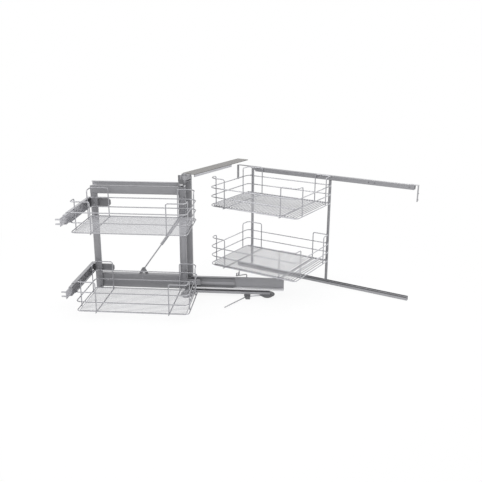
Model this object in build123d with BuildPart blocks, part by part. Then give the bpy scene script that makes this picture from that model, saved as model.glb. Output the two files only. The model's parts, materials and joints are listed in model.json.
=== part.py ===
from build123d import *
from math import atan2, cos, degrees, hypot, radians, sin
import os

# A fitting for a blind corner cabinet: a swing-out front frame with two wire baskets on a
# telescopic slide, and a rear frame with two baskets that runs sideways on rails at the
# cabinet's back. Millimetres. The origin is the swing axis on the cabinet floor, +X runs
# along the rear rails, +Y into the cabinet and +Z up. The front frame is modelled pulled
# out and swung round, with the rear baskets moved across to the door opening.

# Clearances and overruns shared by all sub-parts
running_gap = 0.3
shaft_gap = 0.05
rod_gap = 0.1
cut_overrun = 1.0
sheet = 2.0

# Floor pivot, turntable and base plate
floor_disc_radius = 31.0
floor_disc_height = 5.0
floor_screw_radius = 2.25
floor_screw_circle_radius = 25.0
floor_screw_count = 3
turntable_radius = 19.0
turntable_height = 3.0
pivot_pin_radius = 5.0
base_plate_radius = 27.0
base_plate_height = 6.0
base_plate_reach = 24.0

# Front frame: lengths along it from the pivot to its free end, across it and up
swing_heading = 207.5
frame_right = -4.0
frame_left = 446.0
frame_front = 6.0
frame_bottom = 30.0
post_width = 32.0
post_depth = 14.0
top_rail_height = 37.0
guide_channel_height = 22.0
guide_channel_depth = 16.0
guide_channel_inset = 9.0
bottom_channel_height = 70.0
bottom_channel_depth = 24.0
channel_hole_radius = 3.0
channel_holes = ((55.0, 74.0), (218.0, 79.0))
end_stop_length = 6.0
end_stop_height = 8.0

# Telescopic slide
slide_centre_z = 65.0
slide_length = 450.0
slide_back = -33.0
slide_overlap = 5.0
outer_height = 54.0
outer_depth = 19.0
middle_height = 42.0
middle_depth = 14.5
middle_front = -14.0
inner_height = 30.0
inner_depth = 11.0
push_travel = 405.0
middle_travel = 237.0
outer_cage_length = 190.0
inner_cage_length = 230.0
cage_margin = 9.0
cage_depth = 8.0

# Pivot column and head
column_side = 27.0
column_right = 1.0
head_gap = 3.0
head_thickness = 4.0
head_eye_radius = 15.0
head_lip_gap = 1.0
head_lip_thickness = 3.0
head_lip_width = 24.0
head_lip_drop = 18.0
bush_radius = 10.0
bush_height = 5.0
bolt_radius = 6.0
bolt_head_radius = 12.0
bolt_head_height = 8.0
bolt_end_gap = 1.0
roller_place = 14.0
roller_width = 9.0
roller_inset = 2.0
axle_radius = 2.5
axle_head_radius = 4.5
axle_head_length = 2.0

# Top plate on the cabinet, whose height the frame and the rear rails follow
top_plate_z = 594.0
top_plate_left = -32.0
top_plate_right = 34.0
top_plate_start = 33.0
top_plate_end = 515.0
top_plate_thickness = 3.0
top_plate_corner = 6.0
top_flange_drop = 11.0
top_flange_end = 352.0
top_screw_radius = 2.75
top_screw_x = 6.5
top_screw_first_y = 45.0
top_screw_spacing = 350.0
pivot_bracket_height = 21.7
pivot_bracket_radius = 14.0
pivot_bracket_end = 39.0

# Carrier rail, glide foot, guide block, control rod and catch lever
carrier_length = 379.0
carrier_height = 73.0
carrier_thickness = 3.0
carrier_front = -3.0
carrier_lip_height = 12.0
foot_place = -391.0
foot_across = -20.0
foot_radius = 37.0
foot_base_radius = 22.0
foot_rim_height = 4.0
block_place = -294.0
block_width = 32.0
block_tip_width = 21.0
block_tip_shift = 6.5
block_front = 31.0
block_back = -20.0
block_floor_gap = 1.0
block_corner = 3.0
rod_radius = 2.5
rod_sides = 8
rod_height = 8.0
rod_tip = (-201.0, 152.0)
rod_bend = (-292.0, 12.0)
rod_bend_radius = 24.0
rod_socket_depth = 14.0
lever_place = -296.0
lever_width = 20.0
lever_foot_height = 45.0
lever_floor_z = 103.0
lever_tip = (-243.0, -13.0)
lever_tip_radius = 4.0
lever_pin_radius = 2.5
lever_pin_height = 12.0

# Gas strut: its lower pin along the frame and up, its upper end along it and under the head
strut_lower = (213.0, 122.0)
strut_upper_along = -6.0
strut_upper_drop = 135.0
strut_across = -24.0
strut_eye_radius = 6.5
strut_eye_thickness = 7.0
strut_pin_radius = 3.0
strut_rod_radius = 3.2
strut_cylinder_radius = 7.0
strut_cylinder_start = 156.0
strut_neck_length = 14.0
strut_rod_engaged = 90.0
strut_stroke = 20.0
strut_bore_spare = 10.0
strut_bracket_radius = 10.0
strut_bracket_width = 44.0
strut_bracket_foot = 10.0
strut_bracket_thickness = 2.5
strut_notch_width = 20.0
strut_notch_height = 9.0
strut_stud_radius = 8.0

# Door arms
arm_bracket_right = 356.0
arm_bracket_depth = 8.0
arm_bracket_chamfer = 9.0
upper_bracket_height = 38.0
upper_bracket_drop = 45.0
lower_bracket_height = 35.0
lower_bracket_z = 129.5
arm_left = 466.0
arm_width = 18.0
arm_height = 46.0
arm_length = 298.0
arm_inner_width = 13.0
arm_inner_start = 30.0
arm_inner_length = 303.0
arm_slot_length = 26.0
arm_slot_width = 9.0
arm_slot_shares = (0.14, 0.5, 0.86)
upper_arm_drop = 42.0
lower_arm_z = 135.0
door_plate_height = 36.0
door_plate_length = 70.0
door_plate_reach = 43.0
door_plate_thickness = 3.0
door_stud_radius = 3.5
door_stud_length = 23.0
door_stud_inset = 12.0
door_stud_spacing = 20.0

# Wire baskets
rim_wire = 5.0
floor_wire = 3.0
wire_sides = 4
weld_overlap = 0.5
corner_radius = 18.0
passing_corner_radius = 38.0
hoop_bend = 9.0
rim_spacing = 44.5
hoop_rise = 135.0
hoop_reach_long = 88.0
hoop_reach_short = 58.0
cross_wire_stub = 8.0
front_basket_right = -59.5
front_basket_left = 442.5
front_basket_back = 22.5
front_basket_front = 311.5
front_lower_z = 36.0
front_upper_drop = 103.5
front_long_wires = 20
front_cross_wires = 2
rear_basket_left = 39.0
rear_basket_right = 517.5
rear_basket_front = 139.0
rear_basket_back = 505.0
rear_lower_z = 130.0
rear_upper_drop = 112.5
rear_long_wires = 2
rear_cross_wires = 33
hook_width = 10.0
hook_reach = 20.0
hook_drop = 12.0
clip_reach = 12.0
catch_place = 218.0
catch_reach = 15.0
catch_depth = 19.0
catch_tip_height = 12.0

# Rear rails and rear frame
rail_wall = 1.5
rail_back_y = 526.0
top_rail_left = 80.0
top_rail_right = 921.0
rear_top_rail_height = 22.0
rear_top_rail_width = 18.0
rear_top_rail_drop = 54.0
rail_hole_radius = 2.5
rail_hole_places = (267.0, 702.0, 732.0, 897.0)
bottom_rail_left = -28.0
bottom_rail_right = 930.0
bottom_rail_width = 16.0
bottom_rail_height = 20.0
rail_screw_radius = 2.25
rail_screw_spacing = 600.0
panel_left = -32.0
panel_right = 937.0
strap_overlap = 26.0
strap_drop = 76.0
strap_screw_spacing = 35.0
strap_screw_drop = 38.0
strap_screw_radius = 2.25
rivet_radius = 4.0
rivet_height = 1.5
rivet_inset = 10.0
post_side = 11.0
rear_left_post_x = 60.5
rear_right_post_x = 502.5
runner_width = 9.0
top_runner_height = 10.0
bottom_runner_height = 8.0
top_glide_height = 5.0
top_glide_length = 33.0
top_glide_overhang = 4.0
bottom_glide_height = 3.2
bottom_glide_length = 23.0
screw_size = 7.0
screw_sides = 6
screw_height = 2.0
screw_spread = 14.0

# Worked out from the sizes above: the swinging part
turntable_z = floor_disc_height + running_gap
base_plate_z = turntable_z + turntable_height
column_z = base_plate_z + base_plate_height
bracket_z = top_plate_z - pivot_bracket_height
head_top = bracket_z - running_gap - bush_height
head_z = head_top - head_thickness
frame_top = head_z - head_gap
column_left = column_right - column_side
slide_tail = column_left + slide_overlap - slide_length
column_back = slide_back - column_side
frame_back = frame_front - post_depth
bottom_channel_back = frame_back - bottom_channel_depth
bottom_channel_top = frame_bottom + bottom_channel_height
guide_channel_z = frame_top - guide_channel_height
guide_channel_back = frame_front - guide_channel_depth
top_rail_z = guide_channel_z - top_rail_height
upper_bracket_z = top_rail_z - upper_bracket_drop
upper_arm_z = top_rail_z - upper_arm_drop
inner_front = frame_back - sheet
middle_tail = slide_tail + middle_travel
inner_tail = slide_tail + push_travel
head_lip_back = frame_front + head_lip_gap
head_front = head_lip_back + head_lip_thickness
roller_z = guide_channel_z + guide_channel_height / 2
roller_radius = guide_channel_height / 2 - sheet - running_gap
roller_front = frame_front - roller_inset
strut_upper = (strut_upper_along, head_z - strut_upper_drop)
strut_length = hypot(strut_upper[0] - strut_lower[0], strut_upper[1] - strut_lower[1])
strut_lean = degrees(atan2(strut_lower[0] - strut_upper[0], strut_upper[1] - strut_lower[1]))
arm_inner_left = arm_left - sheet - running_gap
arm_inner_height = arm_height - 2 * sheet - 2 * running_gap
arm_front = frame_back + arm_length
arm_inner_front = arm_inner_start + arm_inner_length
door_plate_front = arm_inner_front + door_plate_reach

# Worked out from the sizes above: baskets and rear frame
wire_corner = rim_wire / 2 / cos(radians(180 / wire_sides))
leg_inset = rim_wire - weld_overlap
grid_inset = leg_inset + wire_corner + running_gap
front_upper_z = top_rail_z - front_upper_drop
rear_top_rail_z = top_plate_z - rear_top_rail_drop
rear_upper_z = rear_top_rail_z - rear_upper_drop
rail_centre_y = rail_back_y - rear_top_rail_width / 2
strap_z = rear_top_rail_z + rear_top_rail_height
bottom_glide_z = rail_wall + running_gap
bottom_runner_z = bottom_glide_z + bottom_glide_height
post_z = bottom_runner_z + bottom_runner_height
top_glide_top = strap_z - rail_wall - running_gap
top_runner_z = top_glide_top - top_glide_height - top_runner_height
post_front_y = rail_centre_y - post_side / 2

# Base planes: the cabinet's, and the swung frame's, with local x along the frame to its
# free end, local y across it towards the baskets and local z up
CABINET = Plane.XY
SWING = Plane(
    origin=(0, 0, 0),
    x_dir=(cos(radians(swing_heading)), sin(radians(swing_heading)), 0),
    z_dir=(0, 0, 1),
)

os.makedirs("parts", exist_ok=True)


def end_on(base, along):
    """Plane square to the base's x: local x is the base's y, local y is up."""
    place = base.from_local_coords((along, 0, 0))
    return Plane(origin=place, x_dir=base.y_dir, z_dir=base.x_dir)


def face_on(base, across):
    """Plane square to the base's y, facing back along it: local x is the base's, local y is up."""
    place = base.from_local_coords((0, across, 0))
    return Plane(origin=place, x_dir=base.x_dir, z_dir=-base.y_dir)


def between(low_x, high_x, low_y, high_y, mode=Mode.ADD):
    """Rectangle between two corners, in the current sketch."""
    with Locations(((low_x + high_x) / 2, (low_y + high_y) / 2)):
        Rectangle(high_x - low_x, high_y - low_y, mode=mode)


def spread(low, high, count):
    """Evenly spaced places from one end to the other."""
    return [low + (high - low) * step / (count - 1) for step in range(count)]


def save(builder, name):
    """Label a finished piece and write its STEP file."""
    builder.part.label = name
    export_step(builder.part, f"parts/{name}.step")


# Floor disc with the lower pivot pin
with BuildPart() as floor_pivot_base:
    with BuildSketch(CABINET):
        Circle(floor_disc_radius)
        with PolarLocations(floor_screw_circle_radius, floor_screw_count, start_angle=45):
            Circle(floor_screw_radius, mode=Mode.SUBTRACT)
    extrude(amount=floor_disc_height)
    with BuildSketch(CABINET.offset(floor_disc_height)):
        Circle(pivot_pin_radius)
    extrude(amount=column_z - floor_disc_height)
save(floor_pivot_base, "floor_pivot_base")

# Ring that the base plate turns on
with BuildPart() as turntable:
    with BuildSketch(SWING.offset(turntable_z)):
        Circle(turntable_radius)
        Circle(pivot_pin_radius + shaft_gap, mode=Mode.SUBTRACT)
    extrude(amount=turntable_height)
save(turntable, "turntable")

# Base plate from the pivot to the foot of the column
with BuildPart() as base_plate:
    with BuildSketch(SWING.offset(base_plate_z)):
        Circle(base_plate_radius)
        between(column_left - base_plate_reach, column_right, column_back, slide_back)
        make_hull()
        Circle(pivot_pin_radius + shaft_gap, mode=Mode.SUBTRACT)
    extrude(amount=base_plate_height)
save(base_plate, "base_plate")

# Pivot column, a square tube
with BuildPart() as pivot_column:
    with BuildSketch(SWING.offset(column_z)):
        between(column_left, column_right, column_back, slide_back)
        offset(amount=-sheet, mode=Mode.SUBTRACT)
    extrude(amount=head_z - column_z)
save(pivot_column, "pivot_column")

# Carrier rail: an upright web, a floor flange and a front lip
with BuildPart() as carrier_rail:
    with BuildSketch(end_on(SWING, column_left - carrier_length)):
        between(slide_back - carrier_thickness, slide_back, column_z, column_z + carrier_height)
        between(
            slide_back - carrier_thickness, carrier_front, column_z, column_z + carrier_thickness
        )
        between(
            carrier_front - carrier_thickness, carrier_front, column_z, column_z + carrier_lip_height
        )
    extrude(amount=carrier_length)
save(carrier_rail, "carrier_rail")

# Round foot under the far end of the carrier, wider at its top, with a socket for the rod
with BuildPart() as glide_foot:
    with BuildSketch(face_on(SWING, foot_across)):
        with BuildLine():
            Polyline(
                (foot_place, 0),
                (foot_place + foot_base_radius, 0),
                (foot_place + foot_radius, column_z - foot_rim_height),
                (foot_place + foot_radius, column_z),
                (foot_place, column_z),
                close=True,
            )
        make_face()
    foot_axis = Axis(SWING.from_local_coords((foot_place, foot_across, 0)), (0, 0, 1))
    revolve(axis=foot_axis)
    with BuildSketch(SWING.offset(rod_height - rod_radius - rod_gap)):
        with BuildLine():
            Line(rod_bend, (foot_place, foot_across))
        trace(line_width=2 * (rod_radius + rod_gap))
        with Locations((foot_place, foot_across)):
            Circle(foot_radius - rod_socket_depth, mode=Mode.SUBTRACT)
    extrude(amount=2 * (rod_radius + rod_gap), mode=Mode.SUBTRACT)
save(glide_foot, "glide_foot")

# Control rod: from its free tip through the guide block into the foot
rod_run = hypot(rod_bend[0] - foot_place, rod_bend[1] - foot_across)
rod_end_share = 1 - (foot_radius - rod_socket_depth + running_gap) / rod_run
rod_end = (
    rod_bend[0] + (foot_place - rod_bend[0]) * rod_end_share,
    rod_bend[1] + (foot_across - rod_bend[1]) * rod_end_share,
)
with BuildPart() as control_rod:
    with BuildLine(SWING.offset(rod_height)) as rod_path:
        FilletPolyline(rod_tip, rod_bend, rod_end, radius=rod_bend_radius)
    with BuildSketch(Plane(origin=rod_path.line @ 0, x_dir=SWING.z_dir, z_dir=rod_path.line % 0)):
        RegularPolygon(rod_radius, rod_sides)
    sweep()
save(control_rod, "control_rod")

# Guide block: a tapered tongue under the carrier, with a groove that the rod lies in
with BuildPart() as guide_block:
    with BuildSketch(SWING.offset(block_floor_gap)):
        with BuildLine():
            Polyline(
                (block_place - block_width / 2, block_back),
                (block_place + block_width / 2, block_back),
                (block_place - block_tip_shift + block_tip_width / 2, block_front),
                (block_place - block_tip_shift - block_tip_width / 2, block_front),
                close=True,
            )
        make_face()
    extrude(amount=column_z - block_floor_gap)
    fillet(guide_block.edges().filter_by(Axis.Z), radius=block_corner)
    with BuildSketch(SWING.offset(rod_height - rod_radius - rod_gap)):
        with BuildLine():
            FilletPolyline(rod_tip, rod_bend, rod_end, radius=rod_bend_radius)
        trace(line_width=2 * (rod_radius + rod_gap))
    extrude(amount=column_z, mode=Mode.SUBTRACT)
save(guide_block, "guide_block")

# Catch lever: a leaf on the back of the carrier, a tongue over the frame and an upright pin
lever_back = slide_back - carrier_thickness - carrier_thickness
with BuildPart() as catch_lever:
    with BuildSketch(SWING.offset(lever_floor_z)):
        between(
            lever_place - lever_width / 2,
            lever_place + lever_width / 2,
            lever_back,
            lever_back + carrier_thickness,
        )
        with Locations(lever_tip):
            Circle(lever_tip_radius)
        make_hull()
    extrude(amount=carrier_thickness)
    with BuildSketch(end_on(SWING, lever_place - lever_width / 2)):
        between(
            lever_back,
            lever_back + carrier_thickness,
            lever_floor_z - lever_foot_height,
            lever_floor_z,
        )
    extrude(amount=lever_width)
    with BuildSketch(SWING.offset(lever_floor_z + carrier_thickness)):
        with Locations(lever_tip):
            Circle(lever_pin_radius)
    extrude(amount=lever_pin_height)
save(catch_lever, "catch_lever")


def slide_profile(back, front, height, open_side):
    """Channel section of a slide member, open at the front (1) or the back (-1)."""
    low = slide_centre_z - height / 2
    high = slide_centre_z + height / 2
    between(back, front, low, high)
    shift = open_side * sheet
    between(back + shift, front + shift, low + sheet, high - sheet, mode=Mode.SUBTRACT)


# Outer member of the slide, fixed to the carrier and the column
with BuildPart() as slide_outer_member:
    with BuildSketch(end_on(SWING, slide_tail)):
        slide_profile(slide_back, slide_back + outer_depth, outer_height, 1)
    extrude(amount=slide_length)
save(slide_outer_member, "slide_outer_member")

# Middle member of the slide
with BuildPart() as slide_middle_member:
    with BuildSketch(end_on(SWING, middle_tail)):
        slide_profile(middle_front - middle_depth, middle_front, middle_height, 1)
    extrude(amount=slide_length)
save(slide_middle_member, "slide_middle_member")

# Inner member of the slide, on the back of the frame's bottom channel
with BuildPart() as slide_inner_member:
    with BuildSketch(end_on(SWING, inner_tail)):
        slide_profile(inner_front - inner_depth, inner_front, inner_height, -1)
    extrude(amount=slide_length)
save(slide_inner_member, "slide_inner_member")


def cage_pair(start, length, front, gap_low, gap_high):
    """Two ball retainers, one in the lower gap between two members and one in the upper."""
    with BuildSketch(end_on(SWING, start)) as cages:
        low = slide_centre_z - gap_high + running_gap
        high = slide_centre_z - gap_low - running_gap
        between(front - cage_depth, front, low, high)
        low = slide_centre_z + gap_low + running_gap
        high = slide_centre_z + gap_high - running_gap
        between(front - cage_depth, front, low, high)
    extrude(cages.sketch, amount=length)


# Ball cages that run with the middle member
with BuildPart() as ball_cages:
    cage_pair(
        middle_tail + cage_margin,
        outer_cage_length,
        slide_back + outer_depth - sheet,
        middle_height / 2,
        outer_height / 2 - sheet,
    )
    cage_pair(
        middle_tail + slide_length - cage_margin - inner_cage_length,
        inner_cage_length,
        middle_front - sheet,
        inner_height / 2,
        middle_height / 2 - sheet,
    )
save(ball_cages, "ball_cages")

# Head bracket: a plate from the column over the frame, with a lip that carries the roller
with BuildPart() as head_bracket:
    with BuildSketch(SWING.offset(head_z)):
        between(column_left, column_right, column_back, slide_back)
        Circle(head_eye_radius)
        between(
            roller_place - head_lip_width / 2, roller_place + head_lip_width / 2, 0, head_front
        )
        make_hull()
        Circle(bolt_radius + shaft_gap, mode=Mode.SUBTRACT)
    extrude(amount=head_thickness)
    with BuildSketch(face_on(SWING, head_front)):
        between(
            roller_place - head_lip_width / 2,
            roller_place + head_lip_width / 2,
            head_z - head_lip_drop,
            head_top,
        )
        with Locations((roller_place, roller_z)):
            Circle(axle_radius + shaft_gap, mode=Mode.SUBTRACT)
    extrude(amount=head_lip_thickness)
save(head_bracket, "head_bracket")

# Spacer ring on the upper pivot
with BuildPart() as head_bush:
    with BuildSketch(SWING.offset(head_top)):
        Circle(bush_radius)
        Circle(bolt_radius + shaft_gap, mode=Mode.SUBTRACT)
    extrude(amount=bush_height)
save(head_bush, "head_bush")

# Axle of the guide roller, with its head in front of the lip
with BuildPart() as roller_axle:
    with BuildSketch(face_on(SWING, head_front + axle_head_length)):
        with Locations((roller_place, roller_z)):
            Circle(axle_head_radius)
    extrude(amount=axle_head_length)
    with BuildSketch(face_on(SWING, head_front)):
        with Locations((roller_place, roller_z)):
            Circle(axle_radius)
    extrude(amount=head_front - roller_front + roller_width + running_gap)
save(roller_axle, "roller_axle")

# Guide roller, which runs in the frame's top channel
with BuildPart() as guide_roller:
    with BuildSketch(face_on(SWING, roller_front)):
        with Locations((roller_place, roller_z)):
            Circle(roller_radius)
            Circle(axle_radius + shaft_gap, mode=Mode.SUBTRACT)
    extrude(amount=roller_width)
save(guide_roller, "guide_roller")

# Long plate under the cabinet top, with one edge folded down and two screw holes
top_screw_places = [
    (top_screw_x, top_screw_first_y),
    (top_screw_x, top_screw_first_y + top_screw_spacing),
]
with BuildPart() as top_mounting_plate:
    with BuildSketch(CABINET.offset(top_plate_z)) as plate_outline:
        between(top_plate_left, top_plate_right, top_plate_start, top_plate_end)
        fillet(plate_outline.vertices().sort_by(Axis.Y)[-2:], radius=top_plate_corner)
        with Locations(*top_screw_places):
            Circle(top_screw_radius, mode=Mode.SUBTRACT)
    extrude(amount=top_plate_thickness)
    with BuildSketch(CABINET.offset(top_plate_z - top_flange_drop)):
        between(top_plate_right - sheet, top_plate_right, top_plate_start, top_flange_end)
    extrude(amount=top_flange_drop)
save(top_mounting_plate, "top_mounting_plate")

# Block under the start of that plate, which holds the upper pivot bolt
with BuildPart() as top_pivot_bracket:
    with BuildSketch(CABINET.offset(bracket_z)):
        Circle(pivot_bracket_radius)
        between(-pivot_bracket_radius, pivot_bracket_radius, 0, pivot_bracket_end)
        Circle(bolt_radius + shaft_gap, mode=Mode.SUBTRACT)
    extrude(amount=top_plate_z - bracket_z)
save(top_pivot_bracket, "top_pivot_bracket")

# Upper pivot bolt, its head on the block
with BuildPart() as top_pivot_bolt:
    with BuildSketch(CABINET.offset(top_plate_z)):
        Circle(bolt_head_radius)
    extrude(amount=bolt_head_height)
    chamfer(
        top_pivot_bolt.faces().sort_by(Axis.Z)[-1].edges(), length=bolt_head_height - bolt_radius
    )
    with BuildSketch(CABINET.offset(frame_top + bolt_end_gap)):
        Circle(bolt_radius)
    extrude(amount=top_plate_z - frame_top - bolt_end_gap)
save(top_pivot_bolt, "top_pivot_bolt")

# Guide channel along the frame's top, open to the front for the roller
with BuildPart() as frame_guide_channel:
    with BuildSketch(end_on(SWING, frame_right)):
        between(guide_channel_back, frame_front, guide_channel_z, frame_top)
        between(
            guide_channel_back + sheet,
            frame_front,
            guide_channel_z + sheet,
            frame_top - sheet,
            mode=Mode.SUBTRACT,
        )
    extrude(amount=frame_left - guide_channel_inset - frame_right)
save(frame_guide_channel, "frame_guide_channel")

# Stop at the channel's open end that the roller meets
with BuildPart() as channel_end_stop:
    with BuildSketch(face_on(SWING, frame_front)):
        between(
            frame_right,
            frame_right + end_stop_length,
            guide_channel_z + sheet,
            guide_channel_z + sheet + end_stop_height,
        )
    extrude(amount=guide_channel_depth - sheet)
save(channel_end_stop, "channel_end_stop")

# Top rail of the frame, a rectangular tube between the right post and the free end
with BuildPart() as frame_top_rail:
    with BuildSketch(end_on(SWING, frame_right + post_width)):
        between(frame_back, frame_front, top_rail_z, guide_channel_z)
        offset(amount=-sheet, mode=Mode.SUBTRACT)
    extrude(amount=frame_left - frame_right - post_width)
save(frame_top_rail, "frame_top_rail")

# Left post, a flat-fronted tube under the top rail
with BuildPart() as frame_left_post:
    with BuildSketch(SWING.offset(frame_bottom)):
        between(frame_left - post_width, frame_left, frame_back, frame_front)
        offset(amount=-sheet, mode=Mode.SUBTRACT)
    extrude(amount=top_rail_z - frame_bottom)
save(frame_left_post, "frame_left_post")

# Right post, a channel with its open side to the front
with BuildPart() as frame_right_post:
    with BuildSketch(SWING.offset(frame_bottom)):
        between(frame_right, frame_right + post_width, frame_back, frame_front)
        between(
            frame_right + sheet,
            frame_right + post_width - sheet,
            frame_back + sheet,
            frame_front,
            mode=Mode.SUBTRACT,
        )
    extrude(amount=guide_channel_z - frame_bottom)
save(frame_right_post, "frame_right_post")

# Bottom channel behind the posts, open to the back so that it covers the slide
with BuildPart() as frame_bottom_channel:
    with BuildSketch(end_on(SWING, frame_right)):
        between(bottom_channel_back, frame_back, frame_bottom, bottom_channel_top)
        between(
            bottom_channel_back,
            frame_back - sheet,
            frame_bottom + sheet,
            bottom_channel_top - sheet,
            mode=Mode.SUBTRACT,
        )
    extrude(amount=frame_left - frame_right)
    with BuildSketch(face_on(SWING, frame_back)):
        with Locations(*channel_holes):
            Circle(channel_hole_radius)
    extrude(amount=sheet + cut_overrun, mode=Mode.SUBTRACT)
save(frame_bottom_channel, "frame_bottom_channel")

# Lower ear of the strut: an inverted V on a foot, with its pin
ear_front = strut_across + strut_eye_thickness / 2 + running_gap + strut_bracket_thickness
with BuildPart() as strut_lower_bracket:
    with BuildSketch(face_on(SWING, ear_front)):
        with Locations(strut_lower):
            Circle(strut_bracket_radius)
        between(
            strut_lower[0] - strut_bracket_width / 2,
            strut_lower[0] + strut_bracket_width / 2,
            bottom_channel_top,
            bottom_channel_top + strut_bracket_thickness,
        )
        make_hull()
        with BuildLine():
            Polyline(
                (strut_lower[0] - strut_notch_width / 2, bottom_channel_top),
                (strut_lower[0] + strut_notch_width / 2, bottom_channel_top),
                (strut_lower[0], bottom_channel_top + strut_notch_height),
                close=True,
            )
        make_face(mode=Mode.SUBTRACT)
    extrude(amount=strut_bracket_thickness)
    with BuildSketch(SWING.offset(bottom_channel_top)):
        for side in (-1, 1):
            outer = strut_lower[0] + side * strut_bracket_width / 2
            inner = strut_lower[0] + side * strut_notch_width / 2
            between(
                min(inner, outer),
                max(inner, outer),
                ear_front - strut_bracket_thickness,
                ear_front + strut_bracket_foot,
            )
    extrude(amount=strut_bracket_thickness)
    with BuildSketch(face_on(SWING, ear_front)):
        with Locations(strut_lower):
            Circle(strut_pin_radius)
    extrude(amount=strut_bracket_thickness + running_gap + strut_eye_thickness)
save(strut_lower_bracket, "strut_lower_bracket")

# Flanged stud on the column for the upper end of the strut
with BuildPart() as strut_upper_stud:
    with BuildSketch(face_on(SWING, strut_across - strut_cylinder_radius - running_gap)):
        with Locations(strut_upper):
            Circle(strut_stud_radius)
    extrude(amount=strut_across - strut_cylinder_radius - running_gap - slide_back)
save(strut_upper_stud, "strut_upper_stud")


def along_strut(distance):
    """Plane square to the strut at a distance from its lower pin."""
    share = distance / strut_length
    place = (
        strut_lower[0] + (strut_upper[0] - strut_lower[0]) * share,
        strut_across,
        strut_lower[1] + (strut_upper[1] - strut_lower[1]) * share,
    )
    axis = SWING.z_dir.rotate(Axis((0, 0, 0), SWING.y_dir), -strut_lean)
    return Plane(origin=SWING.from_local_coords(place), x_dir=SWING.y_dir, z_dir=axis)


# Strut rod with its lower eye
with BuildPart() as strut_rod:
    with BuildSketch(face_on(SWING, strut_across + strut_eye_thickness / 2)):
        with Locations(strut_lower):
            Circle(strut_eye_radius)
    extrude(amount=strut_eye_thickness)
    with BuildSketch(along_strut(0)):
        Circle(strut_rod_radius)
    extrude(amount=strut_cylinder_start + strut_rod_engaged)
    with BuildSketch(face_on(SWING, strut_across + strut_eye_thickness)):
        with Locations(strut_lower):
            Circle(strut_pin_radius + shaft_gap)
    extrude(amount=2 * strut_eye_thickness, mode=Mode.SUBTRACT)
save(strut_rod, "strut_rod")

# Strut cylinder, bored for the rod, with its upper socket
cylinder_length = strut_length - strut_neck_length - strut_cylinder_start
with BuildPart() as strut_cylinder:
    with BuildSketch(along_strut(strut_cylinder_start)):
        Circle(strut_cylinder_radius)
    extrude(amount=cylinder_length)
    with BuildSketch(along_strut(strut_cylinder_start)):
        Circle(strut_rod_radius + rod_gap)
    extrude(amount=strut_rod_engaged + strut_stroke + strut_bore_spare, mode=Mode.SUBTRACT)
    with BuildSketch(along_strut(strut_length - strut_neck_length)):
        Circle(strut_rod_radius)
    extrude(amount=strut_neck_length)
    with BuildSketch(face_on(SWING, strut_across + strut_cylinder_radius)):
        with Locations(strut_upper):
            Circle(strut_eye_radius)
    extrude(amount=2 * strut_cylinder_radius)
save(strut_cylinder, "strut_cylinder")

# Dark brackets behind the left post that carry the door arms
with BuildPart() as arm_brackets:
    for height, centre in (
        (upper_bracket_height, upper_bracket_z),
        (lower_bracket_height, lower_bracket_z),
    ):
        with BuildSketch(face_on(SWING, frame_back)) as bracket_outline:
            between(arm_bracket_right, arm_left, centre - height / 2, centre + height / 2)
            chamfer(bracket_outline.vertices().group_by(Axis.Z)[0], length=arm_bracket_chamfer)
        extrude(amount=arm_bracket_depth)
save(arm_brackets, "arm_brackets")


def arm_outer(height, name):
    """Outer member of a door arm, open towards the baskets."""
    with BuildPart() as member:
        with BuildSketch(face_on(SWING, arm_front)):
            between(arm_left - arm_width, arm_left, height - arm_height / 2, height + arm_height / 2)
            between(
                arm_left - arm_width,
                arm_left - sheet,
                height - arm_height / 2 + sheet,
                height + arm_height / 2 - sheet,
                mode=Mode.SUBTRACT,
            )
        extrude(amount=arm_length)
    save(member, name)


def arm_inner(height, name):
    """Inner member of a door arm, with slots through its web."""
    low = height - arm_inner_height / 2
    high = height + arm_inner_height / 2
    with BuildPart() as member:
        with BuildSketch(face_on(SWING, arm_inner_front)):
            between(arm_inner_left - arm_inner_width, arm_inner_left, low, high)
            between(
                arm_inner_left - arm_inner_width,
                arm_inner_left - sheet,
                low + sheet,
                high - sheet,
                mode=Mode.SUBTRACT,
            )
        extrude(amount=arm_inner_length)
        slot_room = arm_inner_length - 2 * door_plate_length
        slots = [(arm_inner_start + slot_room * share, height) for share in arm_slot_shares]
        with BuildSketch(end_on(SWING, arm_inner_left - sheet - cut_overrun)):
            with Locations(*slots):
                Rectangle(arm_slot_length, arm_slot_width)
        extrude(amount=sheet + 2 * cut_overrun, mode=Mode.SUBTRACT)
    save(member, name)


def door_plate(height, name):
    """Plate at the end of a door arm, with two studs for the door."""
    face = arm_inner_left - sheet
    stud_place = door_plate_front - door_stud_inset
    with BuildPart() as plate:
        with BuildSketch(end_on(SWING, face - door_plate_thickness)):
            between(
                door_plate_front - door_plate_length,
                door_plate_front,
                height - door_plate_height / 2,
                height + door_plate_height / 2,
            )
        extrude(amount=door_plate_thickness)
        with BuildSketch(end_on(SWING, face)):
            with Locations((stud_place, height)):
                with GridLocations(0, door_stud_spacing, 1, 2):
                    Circle(door_stud_radius)
        extrude(amount=door_stud_length)
    save(plate, name)


for arm, arm_z in (("upper", upper_arm_z), ("lower", lower_arm_z)):
    arm_outer(arm_z, f"{arm}_arm_outer")
    arm_inner(arm_z, f"{arm}_arm_inner")
    door_plate(arm_z, f"{arm}_door_plate")

# Screws through the left post into the arm brackets
screw_places = [
    (frame_left - post_width / 2, height + side * screw_spread / 2)
    for height in (lower_bracket_z, upper_bracket_z)
    for side in (-1, 1)
]
with BuildPart() as frame_screws:
    with BuildSketch(face_on(SWING, frame_front + screw_height)):
        with Locations(*screw_places):
            RegularPolygon(screw_size / 2, screw_sides)
    extrude(amount=screw_height)
save(frame_screws, "frame_screws")


def wire_profile(thickness):
    """Section of a wire: a polygon stands for its round, because there are so many wires."""
    RegularPolygon(thickness / 2, wire_sides, major_radius=False, rotation=180 / wire_sides)


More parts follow.
